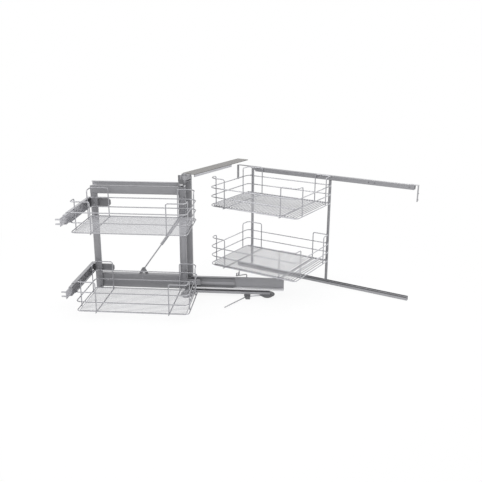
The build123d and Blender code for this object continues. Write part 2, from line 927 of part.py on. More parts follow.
def wire_along(path, first_x):
    """Carry the wire's section along a path, from its start."""
    with BuildSketch(Plane(origin=path @ 0, x_dir=first_x, z_dir=path % 0)) as section:
        wire_profile(rim_wire)
    sweep(section.sketch, path=path, transition=Transition.RIGHT)


def basket_outline(left, right, back, front, inset):
    """Closed outline, with a wider curve at the corner that passes the other baskets."""
    radii = (passing_corner_radius, corner_radius, corner_radius, corner_radius)
    FilletPolyline(
        (left + inset, back + inset),
        (right - inset, back + inset),
        (right - inset, front - inset),
        (left + inset, front - inset),
        radius=[radius - inset for radius in radii],
        close=True,
    )


def basket_sides(base, left, right, back, front, height, name):
    """Three rims, a hoop over each corner and two cross wires under the lowest rim."""
    with BuildPart() as sides:
        for rim in range(3):
            with BuildLine(base.offset(height + rim * rim_spacing)) as rim_line:
                basket_outline(left, right, back, front, 0)
            path = rim_line.wires()[0]
            wire_along(path, base.z_dir.cross(path % 0))
        top = height + hoop_rise
        foot = height - rim_wire / 2
        for x, inward_x in ((left, 1), (right, -1)):
            for y, inward_y in ((back, 1), (front, -1)):
                near_x = x + inward_x * leg_inset
                near_y = y + inward_y * leg_inset
                far_x = x + inward_x * hoop_reach_long
                far_y = y + inward_y * hoop_reach_short
                bend_x = far_x - inward_x * hoop_bend
                bend_y = far_y - inward_y * hoop_bend
                passes = (x, y) == (left, back)
                curve = passing_corner_radius if passes else corner_radius
                with BuildLine(base) as hoop_line:
                    Polyline(
                        (far_x, near_y, foot), (far_x, near_y, top - hoop_bend), (bend_x, near_y, top)
                    )
                    FilletPolyline(
                        (bend_x, near_y, top),
                        (near_x, near_y, top),
                        (near_x, bend_y, top),
                        radius=curve - leg_inset,
                    )
                    Polyline(
                        (near_x, bend_y, top), (near_x, far_y, top - hoop_bend), (near_x, far_y, foot)
                    )
                wire_along(hoop_line.wires()[0], base.x_dir)
        with BuildSketch(face_on(base, front + cross_wire_stub)):
            with Locations(
                (left + hoop_reach_long, height - leg_inset),
                (right - hoop_reach_long, height - leg_inset),
            ):
                wire_profile(rim_wire)
        extrude(amount=front - back + 2 * cross_wire_stub)
    save(sides, name)


def basket_floor(base, left, right, back, front, height, counts, name):
    """Grid of thin wires inside the lowest rim: wires along x lie under wires along y."""
    along, across = counts
    low_z = height - rim_wire / 2 + weld_overlap + floor_wire / 2
    high_z = low_z + floor_wire - weld_overlap
    margin = grid_inset + floor_wire
    with BuildPart() as floor:
        with BuildSketch(end_on(base, left + grid_inset)):
            with Locations(*[(y, low_z) for y in spread(back + margin, front - margin, along)]):
                wire_profile(floor_wire)
        extrude(amount=right - left - 2 * grid_inset)
        with BuildSketch(face_on(base, front - grid_inset)):
            with Locations(*[(x, high_z) for x in spread(left + margin, right - margin, across)]):
                wire_profile(floor_wire)
        extrude(amount=front - back - 2 * grid_inset)
        with BuildSketch(base.offset(height - rim_wire)):
            with BuildLine():
                basket_outline(left, right, back, front, grid_inset)
            make_face()
        extrude(amount=2 * rim_wire, mode=Mode.INTERSECT)
    save(floor, name)


front_basket = (front_basket_right, front_basket_left, front_basket_back, front_basket_front)
rear_basket = (rear_basket_left, rear_basket_right, rear_basket_front, rear_basket_back)
front_counts = (front_long_wires, front_cross_wires)
rear_counts = (rear_long_wires, rear_cross_wires)
basket_sides(SWING, *front_basket, front_upper_z, "front_upper_basket_sides")
basket_sides(SWING, *front_basket, front_lower_z, "front_lower_basket_sides")
basket_floor(SWING, *front_basket, front_upper_z, front_counts, "front_upper_basket_floor")
basket_floor(SWING, *front_basket, front_lower_z, front_counts, "front_lower_basket_floor")
basket_sides(CABINET, *rear_basket, rear_upper_z, "rear_upper_basket_sides")
basket_sides(CABINET, *rear_basket, rear_lower_z, "rear_lower_basket_sides")
basket_floor(CABINET, *rear_basket, rear_upper_z, rear_counts, "rear_upper_basket_floor")
basket_floor(CABINET, *rear_basket, rear_lower_z, rear_counts, "rear_lower_basket_floor")

# Catch of the rear baskets: a bent wire on the front of the lowest rim
catch_root_y = rear_basket_front - rim_wire
catch_tip_y = rear_basket_front - catch_reach
catch_low_z = rear_lower_z - catch_depth
with BuildPart() as rear_basket_catch:
    with BuildLine(CABINET) as catch_line:
        Polyline(
            (catch_place, catch_root_y, rear_lower_z + rim_wire),
            (catch_place, catch_root_y, catch_low_z),
            (catch_place, catch_tip_y, catch_low_z),
            (catch_place, catch_tip_y, catch_low_z + catch_tip_height),
        )
    wire_along(catch_line.wires()[0], CABINET.x_dir)
save(rear_basket_catch, "rear_basket_catch")


def hooks(base, places, width, levels, face, reach, drop, side):
    """Bent hooks from a post's face over the top of a rim; side is the way they reach in y."""
    for level in levels:
        rim_top = level + rim_wire / 2
        for depth, low, thickness in ((reach, rim_top, sheet), (sheet, rim_top - drop, drop)):
            ends = sorted((face, face + side * depth))
            with BuildSketch(base.offset(low)) as leaves:
                for place in places:
                    between(place, place + width, ends[0], ends[1])
            extrude(leaves.sketch, amount=thickness)


# Hooks of the front baskets on the two posts, over the lowest and the highest rims
with BuildPart() as front_basket_hooks:
    hooks(
        SWING,
        (frame_right, frame_left - post_width),
        hook_width,
        [z + rim * rim_spacing for z in (front_lower_z, front_upper_z) for rim in (0, 2)],
        frame_front,
        hook_reach,
        hook_drop,
        1,
    )
save(front_basket_hooks, "front_basket_hooks")

# Clips of the rear baskets on the rear posts
with BuildPart() as rear_basket_clips:
    hooks(
        CABINET,
        (rear_left_post_x - post_side / 2, rear_right_post_x - post_side / 2),
        post_side,
        [z + rim * rim_spacing for z in (rear_lower_z, rear_upper_z) for rim in (0, 2)],
        post_front_y,
        clip_reach,
        sheet,
        -1,
    )
save(rear_basket_clips, "rear_basket_clips")

# Rear top rail, an inverted U with small holes in its front
with BuildPart() as rear_top_rail:
    with BuildSketch(end_on(CABINET, top_rail_left)):
        between(rail_back_y - rear_top_rail_width, rail_back_y, rear_top_rail_z, strap_z)
        between(
            rail_back_y - rear_top_rail_width + rail_wall,
            rail_back_y - rail_wall,
            rear_top_rail_z,
            strap_z - rail_wall,
            mode=Mode.SUBTRACT,
        )
    extrude(amount=top_rail_right - top_rail_left)
    with BuildSketch(face_on(CABINET, rail_back_y - rear_top_rail_width + rail_wall)):
        with Locations(*[(x, strap_z - rear_top_rail_height / 2) for x in rail_hole_places]):
            Circle(rail_hole_radius)
    extrude(amount=rail_wall + cut_overrun, mode=Mode.SUBTRACT)
save(rear_top_rail, "rear_top_rail")

# Rear bottom rail, a U on the cabinet floor with screw holes in its web
bottom_rail_centre = (bottom_rail_left + bottom_rail_right) / 2
with BuildPart() as rear_bottom_rail:
    with BuildSketch(end_on(CABINET, bottom_rail_left)):
        between(
            rail_centre_y - bottom_rail_width / 2,
            rail_centre_y + bottom_rail_width / 2,
            0,
            bottom_rail_height,
        )
        between(
            rail_centre_y - bottom_rail_width / 2 + rail_wall,
            rail_centre_y + bottom_rail_width / 2 - rail_wall,
            rail_wall,
            bottom_rail_height,
            mode=Mode.SUBTRACT,
        )
    extrude(amount=bottom_rail_right - bottom_rail_left)
    with BuildSketch(CABINET):
        with Locations((bottom_rail_centre, rail_centre_y)):
            with GridLocations(rail_screw_spacing, 0, 2, 1):
                Circle(rail_screw_radius)
    extrude(amount=rail_wall, mode=Mode.SUBTRACT)
save(rear_bottom_rail, "rear_bottom_rail")


def rail_strap(panel, rail_end, inward, name):
    """Folded strap from a side panel over the end of the top rail; inward is 1 or -1 along x."""
    inner_end = rail_end + inward * strap_overlap
    leg = (panel, panel + inward * sheet)
    with BuildPart() as strap:
        with BuildSketch(CABINET.offset(strap_z)):
            between(
                min(panel, inner_end),
                max(panel, inner_end),
                rail_back_y - rear_top_rail_width,
                rail_back_y,
            )
        extrude(amount=sheet)
        with BuildSketch(CABINET.offset(strap_z - strap_drop)):
            between(min(leg), max(leg), rail_back_y - rear_top_rail_width, rail_back_y)
        extrude(amount=strap_drop)
        first_hole = strap_z - strap_screw_drop
        with BuildSketch(end_on(CABINET, min(leg))):
            with Locations(
                (rail_centre_y, first_hole),
                (rail_centre_y, first_hole - strap_screw_spacing),
            ):
                Circle(strap_screw_radius)
        extrude(amount=sheet, mode=Mode.SUBTRACT)
    save(strap, name)


rail_strap(panel_left, top_rail_left, 1, "rear_left_bracket")
rail_strap(panel_right, top_rail_right, -1, "rear_right_bracket")

# Rivets that hold the straps on the rail
with BuildPart() as bracket_rivets:
    with BuildSketch(CABINET.offset(strap_z + sheet)):
        with Locations(
            (top_rail_left + rivet_inset, rail_centre_y),
            (top_rail_right - rivet_inset, rail_centre_y),
        ):
            Circle(rivet_radius)
    extrude(amount=rivet_height)
save(bracket_rivets, "bracket_rivets")


def rear_post(centre, name):
    """Square post between the rear frame's two runners."""
    with BuildPart() as post:
        with BuildSketch(CABINET.offset(post_z)):
            with Locations((centre, rail_centre_y)):
                Rectangle(post_side, post_side)
        extrude(amount=top_runner_z - post_z)
    save(post, name)


rear_post(rear_left_post_x, "rear_left_post")
rear_post(rear_right_post_x, "rear_right_post")


def runner(height, thickness, name):
    """Flat bar from post to post that carries the glides."""
    with BuildPart() as bar:
        with BuildSketch(CABINET.offset(height)):
            between(
                rear_left_post_x - post_side / 2,
                rear_right_post_x + post_side / 2,
                rail_centre_y - runner_width / 2,
                rail_centre_y + runner_width / 2,
            )
        extrude(amount=thickness)
    save(bar, name)


runner(top_runner_z, top_runner_height, "rear_top_runner")
runner(bottom_runner_z, bottom_runner_height, "rear_bottom_runner")


def glides(height, thickness, length, width, overhang, name):
    """Pair of plastic glides, one at each end of a runner."""
    first = rear_left_post_x - post_side / 2 - overhang
    last = rear_right_post_x + post_side / 2 + overhang
    with BuildPart() as pair:
        with BuildSketch(CABINET.offset(height)):
            for start in (first, last - length):
                between(
                    start, start + length, rail_centre_y - width / 2, rail_centre_y + width / 2
                )
        extrude(amount=thickness)
    save(pair, name)


glides(
    top_glide_top - top_glide_height,
    top_glide_height,
    top_glide_length,
    rear_top_rail_width - 2 * rail_wall - 2 * running_gap,
    top_glide_overhang,
    "top_glides",
)
glides(
    bottom_glide_z,
    bottom_glide_height,
    bottom_glide_length,
    bottom_rail_width - 2 * rail_wall - 2 * running_gap,
    0,
    "bottom_glides",
)
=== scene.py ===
"""Dressed model of a pull-out fitting for a blind corner cabinet, for Blender 4.5.

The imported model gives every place. Folded sheets, tubes, wires and turned pieces are new surfaces
over it, and pieces with cut-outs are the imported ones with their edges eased. Lengths are in metres.
"""

import json
import logging
import math
from dataclasses import dataclass
from enum import Enum

import bmesh
import bpy
import numpy as np
from mathutils import Matrix, Vector


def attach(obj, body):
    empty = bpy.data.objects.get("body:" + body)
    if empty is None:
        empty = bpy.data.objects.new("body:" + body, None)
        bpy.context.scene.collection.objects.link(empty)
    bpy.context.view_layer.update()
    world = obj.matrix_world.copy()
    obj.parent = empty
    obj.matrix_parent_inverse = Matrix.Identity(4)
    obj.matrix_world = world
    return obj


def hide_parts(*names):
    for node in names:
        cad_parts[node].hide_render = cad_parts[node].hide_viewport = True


logging.basicConfig(level=logging.INFO, format="%(message)s")
log = logging.getLogger("pull_out")

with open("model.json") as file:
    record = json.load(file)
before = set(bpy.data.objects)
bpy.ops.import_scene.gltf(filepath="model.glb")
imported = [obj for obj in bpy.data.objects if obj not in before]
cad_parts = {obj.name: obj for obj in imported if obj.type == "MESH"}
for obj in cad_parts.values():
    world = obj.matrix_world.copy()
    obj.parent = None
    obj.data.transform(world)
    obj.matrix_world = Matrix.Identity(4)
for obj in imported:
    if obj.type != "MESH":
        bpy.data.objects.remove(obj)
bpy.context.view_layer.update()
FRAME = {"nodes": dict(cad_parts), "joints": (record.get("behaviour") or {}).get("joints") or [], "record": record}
MM = 0.001
SHARP_EDGE = 38.0
THINNEST = 0.2
NEAR_UPRIGHT = 0.9
END_STEPS = 4
FIRST_AXIS = np.array([1.0, 0.0, 0.0])
UPWARD = np.array([0.0, 0.0, 1.0])

Pair = tuple[float, float]
Triple = tuple[float, float, float]


class Axis(Enum):
    """Direction that a bar runs in, as a row of a bench's axes."""

    ALONG = 0
    ACROSS = 1
    UP = 2


class Grain(Enum):
    """Fine texture of a surface, as its number of grains per metre."""

    ROLLED = 2600.0
    COATED = 1100.0
    PLATED = 700.0
    MOULDED = 900.0


class Open(Enum):
    """Open side of a folded section, or none for a tube."""

    RIGHT = "right"
    LEFT = "left"
    ABOVE = "above"
    NONE = "none"


def points_of(mesh: bpy.types.Mesh) -> np.ndarray:
    """Points of a mesh, one per row."""
    flat = np.empty(len(mesh.vertices) * 3)
    mesh.vertices.foreach_get("co", flat)
    return flat.reshape(-1, 3)


@dataclass(frozen=True)
class Bench:
    """Upright axes that a sub-assembly is laid out on: along it, across it and up.

    Attributes:
        x: First part of the unit vector along the bench.
        y: Second part of that vector.
    """

    x: float
    y: float

    def axes(self) -> np.ndarray:
        """Rows are the unit vectors along, across and up."""
        return np.array([[self.x, self.y, 0.0], [-self.y, self.x, 0.0], [0.0, 0.0, 1.0]])

    def heading(self) -> float:
        """Angle of the bench from the model's first axis, in radians."""
        return math.atan2(self.y, self.x)

    def world(self, points: np.ndarray) -> np.ndarray:
        """Carries points from the bench's axes to the model's."""
        return np.asarray(points, float) @ self.axes()

    def local(self, node: str) -> np.ndarray:
        """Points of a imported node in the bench's axes."""
        return points_of(FRAME["nodes"][node].data) @ self.axes().T

    def span(self, node: str) -> tuple[np.ndarray, np.ndarray]:
        """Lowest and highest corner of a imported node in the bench's axes."""
        points = self.local(node)
        return points.min(0), points.max(0)

    def section(self, node: str, axis: Axis) -> tuple[Pair, Pair, Pair]:
        """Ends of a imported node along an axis, and the lower and upper corner of its section."""
        low, high = (corner.tolist() for corner in self.span(node))
        ends = (low.pop(axis.value), high.pop(axis.value))
        return ends, tuple(low), tuple(high)

    def girth(self, node: str, axis: Axis, side: int = 0) -> Triple:
        """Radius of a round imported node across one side, and its two ends along an axis."""
        low, high = self.span(node)
        return (high[side] - low[side]) / 2, low[axis.value], high[axis.value]


PUSH = next(joint for joint in FRAME["joints"] if joint["name"] == "push_in")["axis"]
SWUNG = Bench(-PUSH[0], -PUSH[1])
CABINET = Bench(1.0, 0.0)


@dataclass
class Shell:
    """One closed surface: its points and its faces as rows of point numbers."""

    points: np.ndarray
    faces: list[np.ndarray]

    def volume(self) -> float:
        """Signed volume: the sum of a . (b x c) / 6 over a fan of each face's triangles."""
        total = 0.0
        for block in self.faces:
            corners = self.points[block]
            cross = np.cross(corners[:, 1:-1], corners[:, 2:])
            total += float(np.sum(corners[:, :1] * cross)) / 6.0
        return total

    def outward(self) -> "Shell":
        """The same surface with its faces pointing out."""
        if self.volume() < 0:
            return Shell(self.points, [block[:, ::-1] for block in self.faces])
        return self


def grid_faces(rows: int, columns: int, wrap_rows: bool = False) -> np.ndarray:
    """Quads of a grid of points numbered row by row, whose last column joins the first.

    Args:
        rows: Number of rows.
        columns: Number of columns.
        wrap_rows: Whether the last row joins the first.

    Returns:
        Array of four point numbers per quad.
    """
    row = np.arange(rows if wrap_rows else rows - 1)[:, None]
    column = np.arange(columns)[None, :]
    here, there = row * columns, (row + 1) % rows * columns
    beside = (column + 1) % columns
    corners = (here + column, here + beside, there + beside, there + column)
    return np.stack(corners, axis=-1).reshape(-1, 4)


def unit(vectors: np.ndarray) -> np.ndarray:
    """Vectors at length one, along the last axis."""
    return vectors / np.maximum(np.linalg.norm(vectors, axis=-1, keepdims=True), 1e-12)


def tangents(path: np.ndarray, closed: bool) -> np.ndarray:
    """Unit vector at each point of a path, halfway between the two runs that meet there."""
    if closed:
        run = unit(np.roll(path, -1, axis=0) - path)
        return unit(run + np.roll(run, 1, axis=0))
    run = unit(np.diff(path, axis=0))
    return unit(np.concatenate([run[:1], run[:-1] + run[1:], run[-1:]]))


def stepped(path: np.ndarray, ease: float) -> np.ndarray:
    """An open path with one point more near each end, at the ease's distance from it."""
    first = path[0] + unit(path[1] - path[0]) * ease
    last = path[-1] + unit(path[-2] - path[-1]) * ease
    return np.concatenate([path[:1], [first], path[1:-1], [last], path[-1:]])


def rounded_line(
    corners: np.ndarray, radius: float | np.ndarray, closed: bool = False, steps: int = 7
) -> np.ndarray:
    """Line through corners, with an arc at each bend.

    An arc of radius r at a bend of angle a touches both runs at r tan(a / 2) from the corner. Its
    points are centre + r (cos q e + sin q g), with e towards the first touch and g along the run.

    Args:
        corners: Corner points in two or three dimensions.
        radius: Radius of the arcs, or one radius per bend.
        closed: Whether the last corner joins the first.
        steps: Number of points on each arc.

    Returns:
        Array of points.
    """
    corners = np.asarray(corners, float)
    bends = slice(None) if closed else slice(1, -1)
    into = unit(corners - np.roll(corners, 1, axis=0))[bends]
    out = unit(np.roll(corners, -1, axis=0) - corners)[bends]
    shared = np.sum(into * out, axis=1)
    turn = np.arccos(np.clip(shared, -1.0, 1.0))
    radii = np.broadcast_to(radius, turn.shape).astype(float)
    start = corners[bends] - into * (radii * np.tan(turn / 2))[:, None]
    side = unit(out - into * shared[:, None])
    centre = start + side * radii[:, None]
    sweep = turn[:, None] * np.linspace(0.0, 1.0, steps)[None, :]
    arcs = (
        centre[:, None, :]
        - side[:, None, :] * (radii[:, None] * np.cos(sweep))[..., None]
        + into[:, None, :] * (radii[:, None] * np.sin(sweep))[..., None]
    ).reshape(-1, corners.shape[1])
    return arcs if closed else np.concatenate([corners[:1], arcs, corners[-1:]])


def tube(
    path: np.ndarray,
    radius: float,
    reference: np.ndarray,
    sides: int,
    closed: bool = False,
    ease: float = 0.4 * MM,
    flat: float = 1.0,
) -> Shell:
    """Round wire or flattened bar carried along a path.

    A point is p(s) + r (cos q u + f sin q w), with u the part of the reference that is square to
    the path, w square to both and f the flattening. An open end closes in a narrow chamfer and a
    flat cap.

    Args:
        path: Points of the centre line.
        radius: Radius of the wire.
        reference: Direction that no run of the path is parallel to.
        sides: Number of points round the wire.
        closed: Whether the path joins up.
        ease: Size of the chamfer on an open end.
        flat: Thickness as a share of the width, which lies along the reference.

    Returns:
        The closed surface.
    """
    if not closed:
        path = stepped(path, ease)
    tangent = tangents(path, closed)
    reference = unit(reference)
    u = unit(reference - tangent * (tangent @ reference)[:, None])
    w = np.cross(tangent, u)
    radii = np.full(len(path), radius)
    angle = np.linspace(0.0, 2 * math.pi, sides, endpoint=False)
    faces = [grid_faces(len(path), sides, closed)]
    if not closed:
        radii[[0, -1]] = radius - ease
        loop = np.arange(sides)[None, :]
        faces += [loop[:, ::-1], loop + (len(path) - 1) * sides]
    ring = np.cos(angle)[:, None] * u[:, None] + flat * np.sin(angle)[:, None] * w[:, None]
    points = path[:, None] + ring * radii[:, None, None]
    return Shell(points.reshape(-1, 3), faces).outward()


def lathe(profile: np.ndarray, centre: np.ndarray, axis: np.ndarray, sides: int = 48) -> Shell:
    """Surface turned about an axis.

    A point is centre + h axis + r (cos q u + sin q w), for each (r, h) of the profile. A profile
    that starts and ends on the axis closes in two poles, and any other closes on itself.

    Args:
        profile: Rows of radius and height.
        centre: Point on the axis at height zero.
        axis: Unit vector along the axis.
        sides: Number of points round the axis.

    Returns:
        The closed surface.
    """
    u = unit(np.cross(axis, FIRST_AXIS if abs(axis[2]) > NEAR_UPRIGHT else UPWARD))
    w = np.cross(axis, u)
    polar = profile[0, 0] == 0 and profile[-1, 0] == 0
    rings = profile[1:-1] if polar else profile
    angle = np.linspace(0.0, 2 * math.pi, sides, endpoint=False)
    ring = np.cos(angle)[:, None] * u + np.sin(angle)[:, None] * w
    points = centre + rings[:, None, :1] * ring[None] + rings[:, None, 1:] * axis
    points = points.reshape(-1, 3)
    faces = [grid_faces(len(rings), sides, not polar)]
    if polar:
        south = np.full(sides, len(points))
        points = np.concatenate([points, centre + profile[[0, -1], 1:] * axis])
        here = np.arange(sides)
        there = (here + 1) % sides
        last = (len(rings) - 1) * sides
        faces.append(np.stack([there, here, south], axis=1))
        faces.append(np.stack([here + last, there + last, south + 1], axis=1))
    return Shell(points, faces).outward()


def scattered(profile: np.ndarray, axis: np.ndarray, sides: int, places: np.ndarray) -> Shell:
    """Copies of one turned head, moved to many places and counted as one surface.

    Args:
        profile: Rows of the head's radius and height.
        axis: Unit vector along its axis.
        sides: Number of points round the axis.
        places: Rows of the places of its foot.

    Returns:
        The closed surfaces together.
    """
    head = lathe(profile, np.zeros(3), axis, sides)
    points = (np.asarray(places)[:, None] + head.points[None]).reshape(-1, 3)
    shift = (np.arange(len(places)) * len(head.points))[:, None, None]
    faces = [(block[None] + shift).reshape(-1, block.shape[1]) for block in head.faces]
    return Shell(points, faces)


def solid(rim: list[Pair], bends: float | np.ndarray, steps: int) -> np.ndarray:
    """Profile of a solid turned piece: its rim joined to the axis at both ends, corners rounded."""
    corners = [(0.0, rim[0][1]), *rim, (0.0, rim[-1][1])]
    return rounded_line(np.array(corners), bends, steps=steps)


def ring(bore: float, outer: float, ends: Pair, ease: float, steps: int) -> np.ndarray:
    """Profile of a ring between two ends: an oblong with rounded corners, off the axis."""
    start, end = ends
    box = np.array([[bore, start], [outer, start], [outer, end], [bore, end]])
    return rounded_line(box, ease, closed=True, steps=steps)


def dome(radius: float, height: float, count: int = 7) -> np.ndarray:
    """Profile of a low dome on a flat base, of count points: radius r cos q, height h sin q."""
    q = np.linspace(0.0, math.pi / 2, count)
    arc = np.stack([radius * np.cos(q), height * np.sin(q)], axis=1)
    arc[-1, 0] = 0.0
    return np.concatenate([[[0.0, 0.0]], arc])


def place_section(
    bench: Bench, axis: Axis, section: np.ndarray, stations: np.ndarray
) -> np.ndarray:
    """Points of sections carried to stations along one of the bench's axes.

    Args:
        bench: Axes that the sections are drawn in.
        axis: The axis that they are carried along.
        section: Blocks of rows of the two other coordinates, one block per station.
        stations: Places along the axis.

    Returns:
        Points in the model's axes.
    """
    along = np.broadcast_to(stations[:, None], section.shape[:-1])
    return bench.world(np.insert(section, axis.value, along, axis=-1)).reshape(-1, 3)


def folded_sheet(
    bench: Bench,
    axis: Axis,
    ends: Pair,
    line: np.ndarray,
    thickness: float,
    bend: float,
    closed: bool = False,
    ease: float = 0.35 * MM,
) -> Shell:
    """Sheet folded to a section and run straight between two ends.

    The section is its middle line c(q) with rounded folds, moved out and in by half the
    thickness along its normal n(q): c + h n and c - h n. The half thickness h falls towards the
    free edges and at both ends by the ease, which breaks their corners, but not below a share
    of the thickness.

    Args:
        bench: Axes that the sheet is laid out on.
        axis: Axis that it runs along.
        ends: Where it starts and ends along that axis.
        line: Corners of the middle line, in the two other coordinates.
        thickness: Thickness of the sheet.
        bend: Radius of the folds at the middle line.
        closed: Whether the section is a tube.
        ease: How much the corners are broken.

    Returns:
        The closed surface.
    """
    middle = rounded_line(line, bend, closed)
    if not closed:
        middle = stepped(middle, ease)
    count = len(middle)
    half = np.full(count, thickness / 2)
    if not closed:
        half[[0, -1]] -= ease
    tangent = tangents(middle, closed)
    normal = np.stack([-tangent[:, 1], tangent[:, 0]], axis=1)
    stations = np.array([ends[0], ends[0] + ease, ends[1] - ease, ends[1]])
    rows = len(stations)
    thin = np.array([ease, 0.0, 0.0, ease])
    offset = np.maximum(half[None, :] - thin[:, None], THINNEST * thickness)[..., None]
    outer = middle[None] + normal[None] * offset
    inner = middle[None] - normal[None] * offset
    if closed:
        blocks = [place_section(bench, axis, side, stations) for side in (outer, inner)]
        quads = grid_faces(rows, count)
        here = np.arange(count)
        there = (here + 1) % count
        shift = rows * count
        faces = [
            quads,
            quads[:, ::-1] + shift,
            np.stack([there, here, here + shift, there + shift], axis=1),
            np.stack([here, there, there + shift, here + shift], axis=1) + (rows - 1) * count,
        ]
        return Shell(np.concatenate(blocks), faces).outward()
    loop = np.concatenate([outer, inner[:, ::-1]], axis=1)
    here = np.arange(count - 1)
    back = 2 * count - 1 - here
    cap = np.stack([here + 1, here, back, back - 1], axis=1)
    faces = [grid_faces(rows, 2 * count), cap, cap[:, ::-1] + (rows - 1) * 2 * count]
    return Shell(place_section(bench, axis, loop, stations), faces).outward()


def rounded_bar(
    bench: Bench, axis: Axis, ends: Pair, low: Pair, high: Pair, corner: float, ease: float
) -> Shell:
    """Solid bar with a rounded oblong section and eased ends.

    The section is the oblong's outline with arcs at its corners. Near both ends it shrinks by
    the ease along a quarter circle, e (1 - sin q) at a distance e (1 - cos q) from the end.

    Args:
        bench: Axes that the bar is laid out on.
        axis: Axis that it runs along.
        ends: Where it starts and ends along that axis.
        low: Lower corner of the section in the two other coordinates.
        high: Upper corner of the section.
        corner: Radius of the section's corners.
        ease: Radius of the rounding at the ends.

    Returns:
        The closed surface.
    """
    corners = np.array([low, (high[0], low[1]), high, (low[0], high[1])])
    outline = rounded_line(corners, corner, closed=True, steps=6)
    centre = (corners[0] + corners[2]) / 2
    half = (corners[2] - corners[0]) / 2
    quarter = np.linspace(0.0, math.pi / 2, END_STEPS)
    turn = np.concatenate([quarter, quarter[::-1]])
    rows = len(turn)
    inward = ease * (1 - np.cos(turn))
    stations = np.where(np.arange(rows) < END_STEPS, ends[0] + inward, ends[1] - inward)
    scale = 1 - (ease * (1 - np.sin(turn)))[:, None] / half[None, :]
    section = centre + (outline - centre)[None] * scale[:, None, :]
    count = len(outline)
    loop = np.arange(count)[None, :]
    faces = [grid_faces(rows, count), loop[:, ::-1], loop + (rows - 1) * count]
    return Shell(place_section(bench, axis, section, stations), faces).outward()


def section_line(low: Pair, high: Pair, half: float, gap: Open) -> np.ndarray:
    """Corners of the middle line of a three-sided channel or an oblong tube.

    Args:
        low: Lower outer corner of the section.
        high: Upper outer corner of the section.
        half: Half the sheet's thickness.
        gap: Side that is open.

    Returns:
        Four points.
    """
    x0, y0 = low[0] + half, low[1] + half
    x1, y1 = high[0] - half, high[1] - half
    lines = {
        Open.RIGHT: [(high[0], y0), (x0, y0), (x0, y1), (high[0], y1)],
        Open.LEFT: [(low[0], y0), (x1, y0), (x1, y1), (low[0], y1)],
        Open.ABOVE: [(x0, high[1]), (x0, y0), (x1, y0), (x1, high[1])],
        Open.NONE: [(x0, y0), (x1, y0), (x1, y1), (x0, y1)],
    }
    return np.array(lines[gap])


def linked(name: str, data: bpy.types.ID) -> bpy.types.Object:
    """New object of the scene with its data."""
    made = bpy.data.objects.new(name, data)
    bpy.context.scene.collection.objects.link(made)
    return made


def make_object(name: str, shells: list[Shell]) -> bpy.types.Object:
    """One mesh object from closed surfaces, smooth except at sharp folds."""
    faces: list[list[int]] = []
    start = 0
    for shell in shells:
        for block in shell.faces:
            faces.extend((block + start).tolist())
        start += len(shell.points)
    mesh = bpy.data.meshes.new(name)
    mesh.from_pydata(np.concatenate([shell.points for shell in shells]).tolist(), [], faces)
    mesh.polygons.foreach_set("use_smooth", np.ones(len(mesh.polygons), bool))
    mesh.set_sharp_from_angle(angle=math.radians(SHARP_EDGE))
    mesh.update()
    return linked(name, mesh)


class Tree:
    """Node tree of a material or of the world, filled by short calls."""

    def __init__(self, tree: bpy.types.NodeTree, clear: bool = False) -> None:
        """Takes a tree, and empties it where that is asked for."""
        self.tree = tree
        if clear:
            tree.nodes.clear()

    def node(
        self, kind: str, values: dict | None = None, at: Pair = (0.0, 0.0), **choices: str
    ) -> bpy.types.Node:
        """Adds a node.

        Args:
            kind: Its kind, without the start that all such names share.
            values: Values of its inputs.
            at: Its place in the editor.
            **choices: Its named options.

        Returns:
            The node.
        """
        made = self.tree.nodes.new(f"ShaderNode{kind}")
        made.location = at
        for key, choice in choices.items():
            setattr(made, key, choice)
        for key, value in (values or {}).items():
            made.inputs[key].default_value = value
        return made

    def ramp(self, at: Pair, low: float, high: float, level: float = 1.0) -> bpy.types.Node:
        """Adds a ramp from black at a low value to a grey at a high one."""
        made = self.node("ValToRGB", at=at)
        first, last = made.color_ramp.elements
        first.position, last.position = low, high
        last.color = (level, level, level, 1.0)
        return made

    def join(self, *links: tuple) -> None:
        """Joins outputs to inputs, each row a node, its output, another node and its input."""
        for source, output, target, entry in links:
            self.tree.links.new(source.outputs[output], target.inputs[entry])


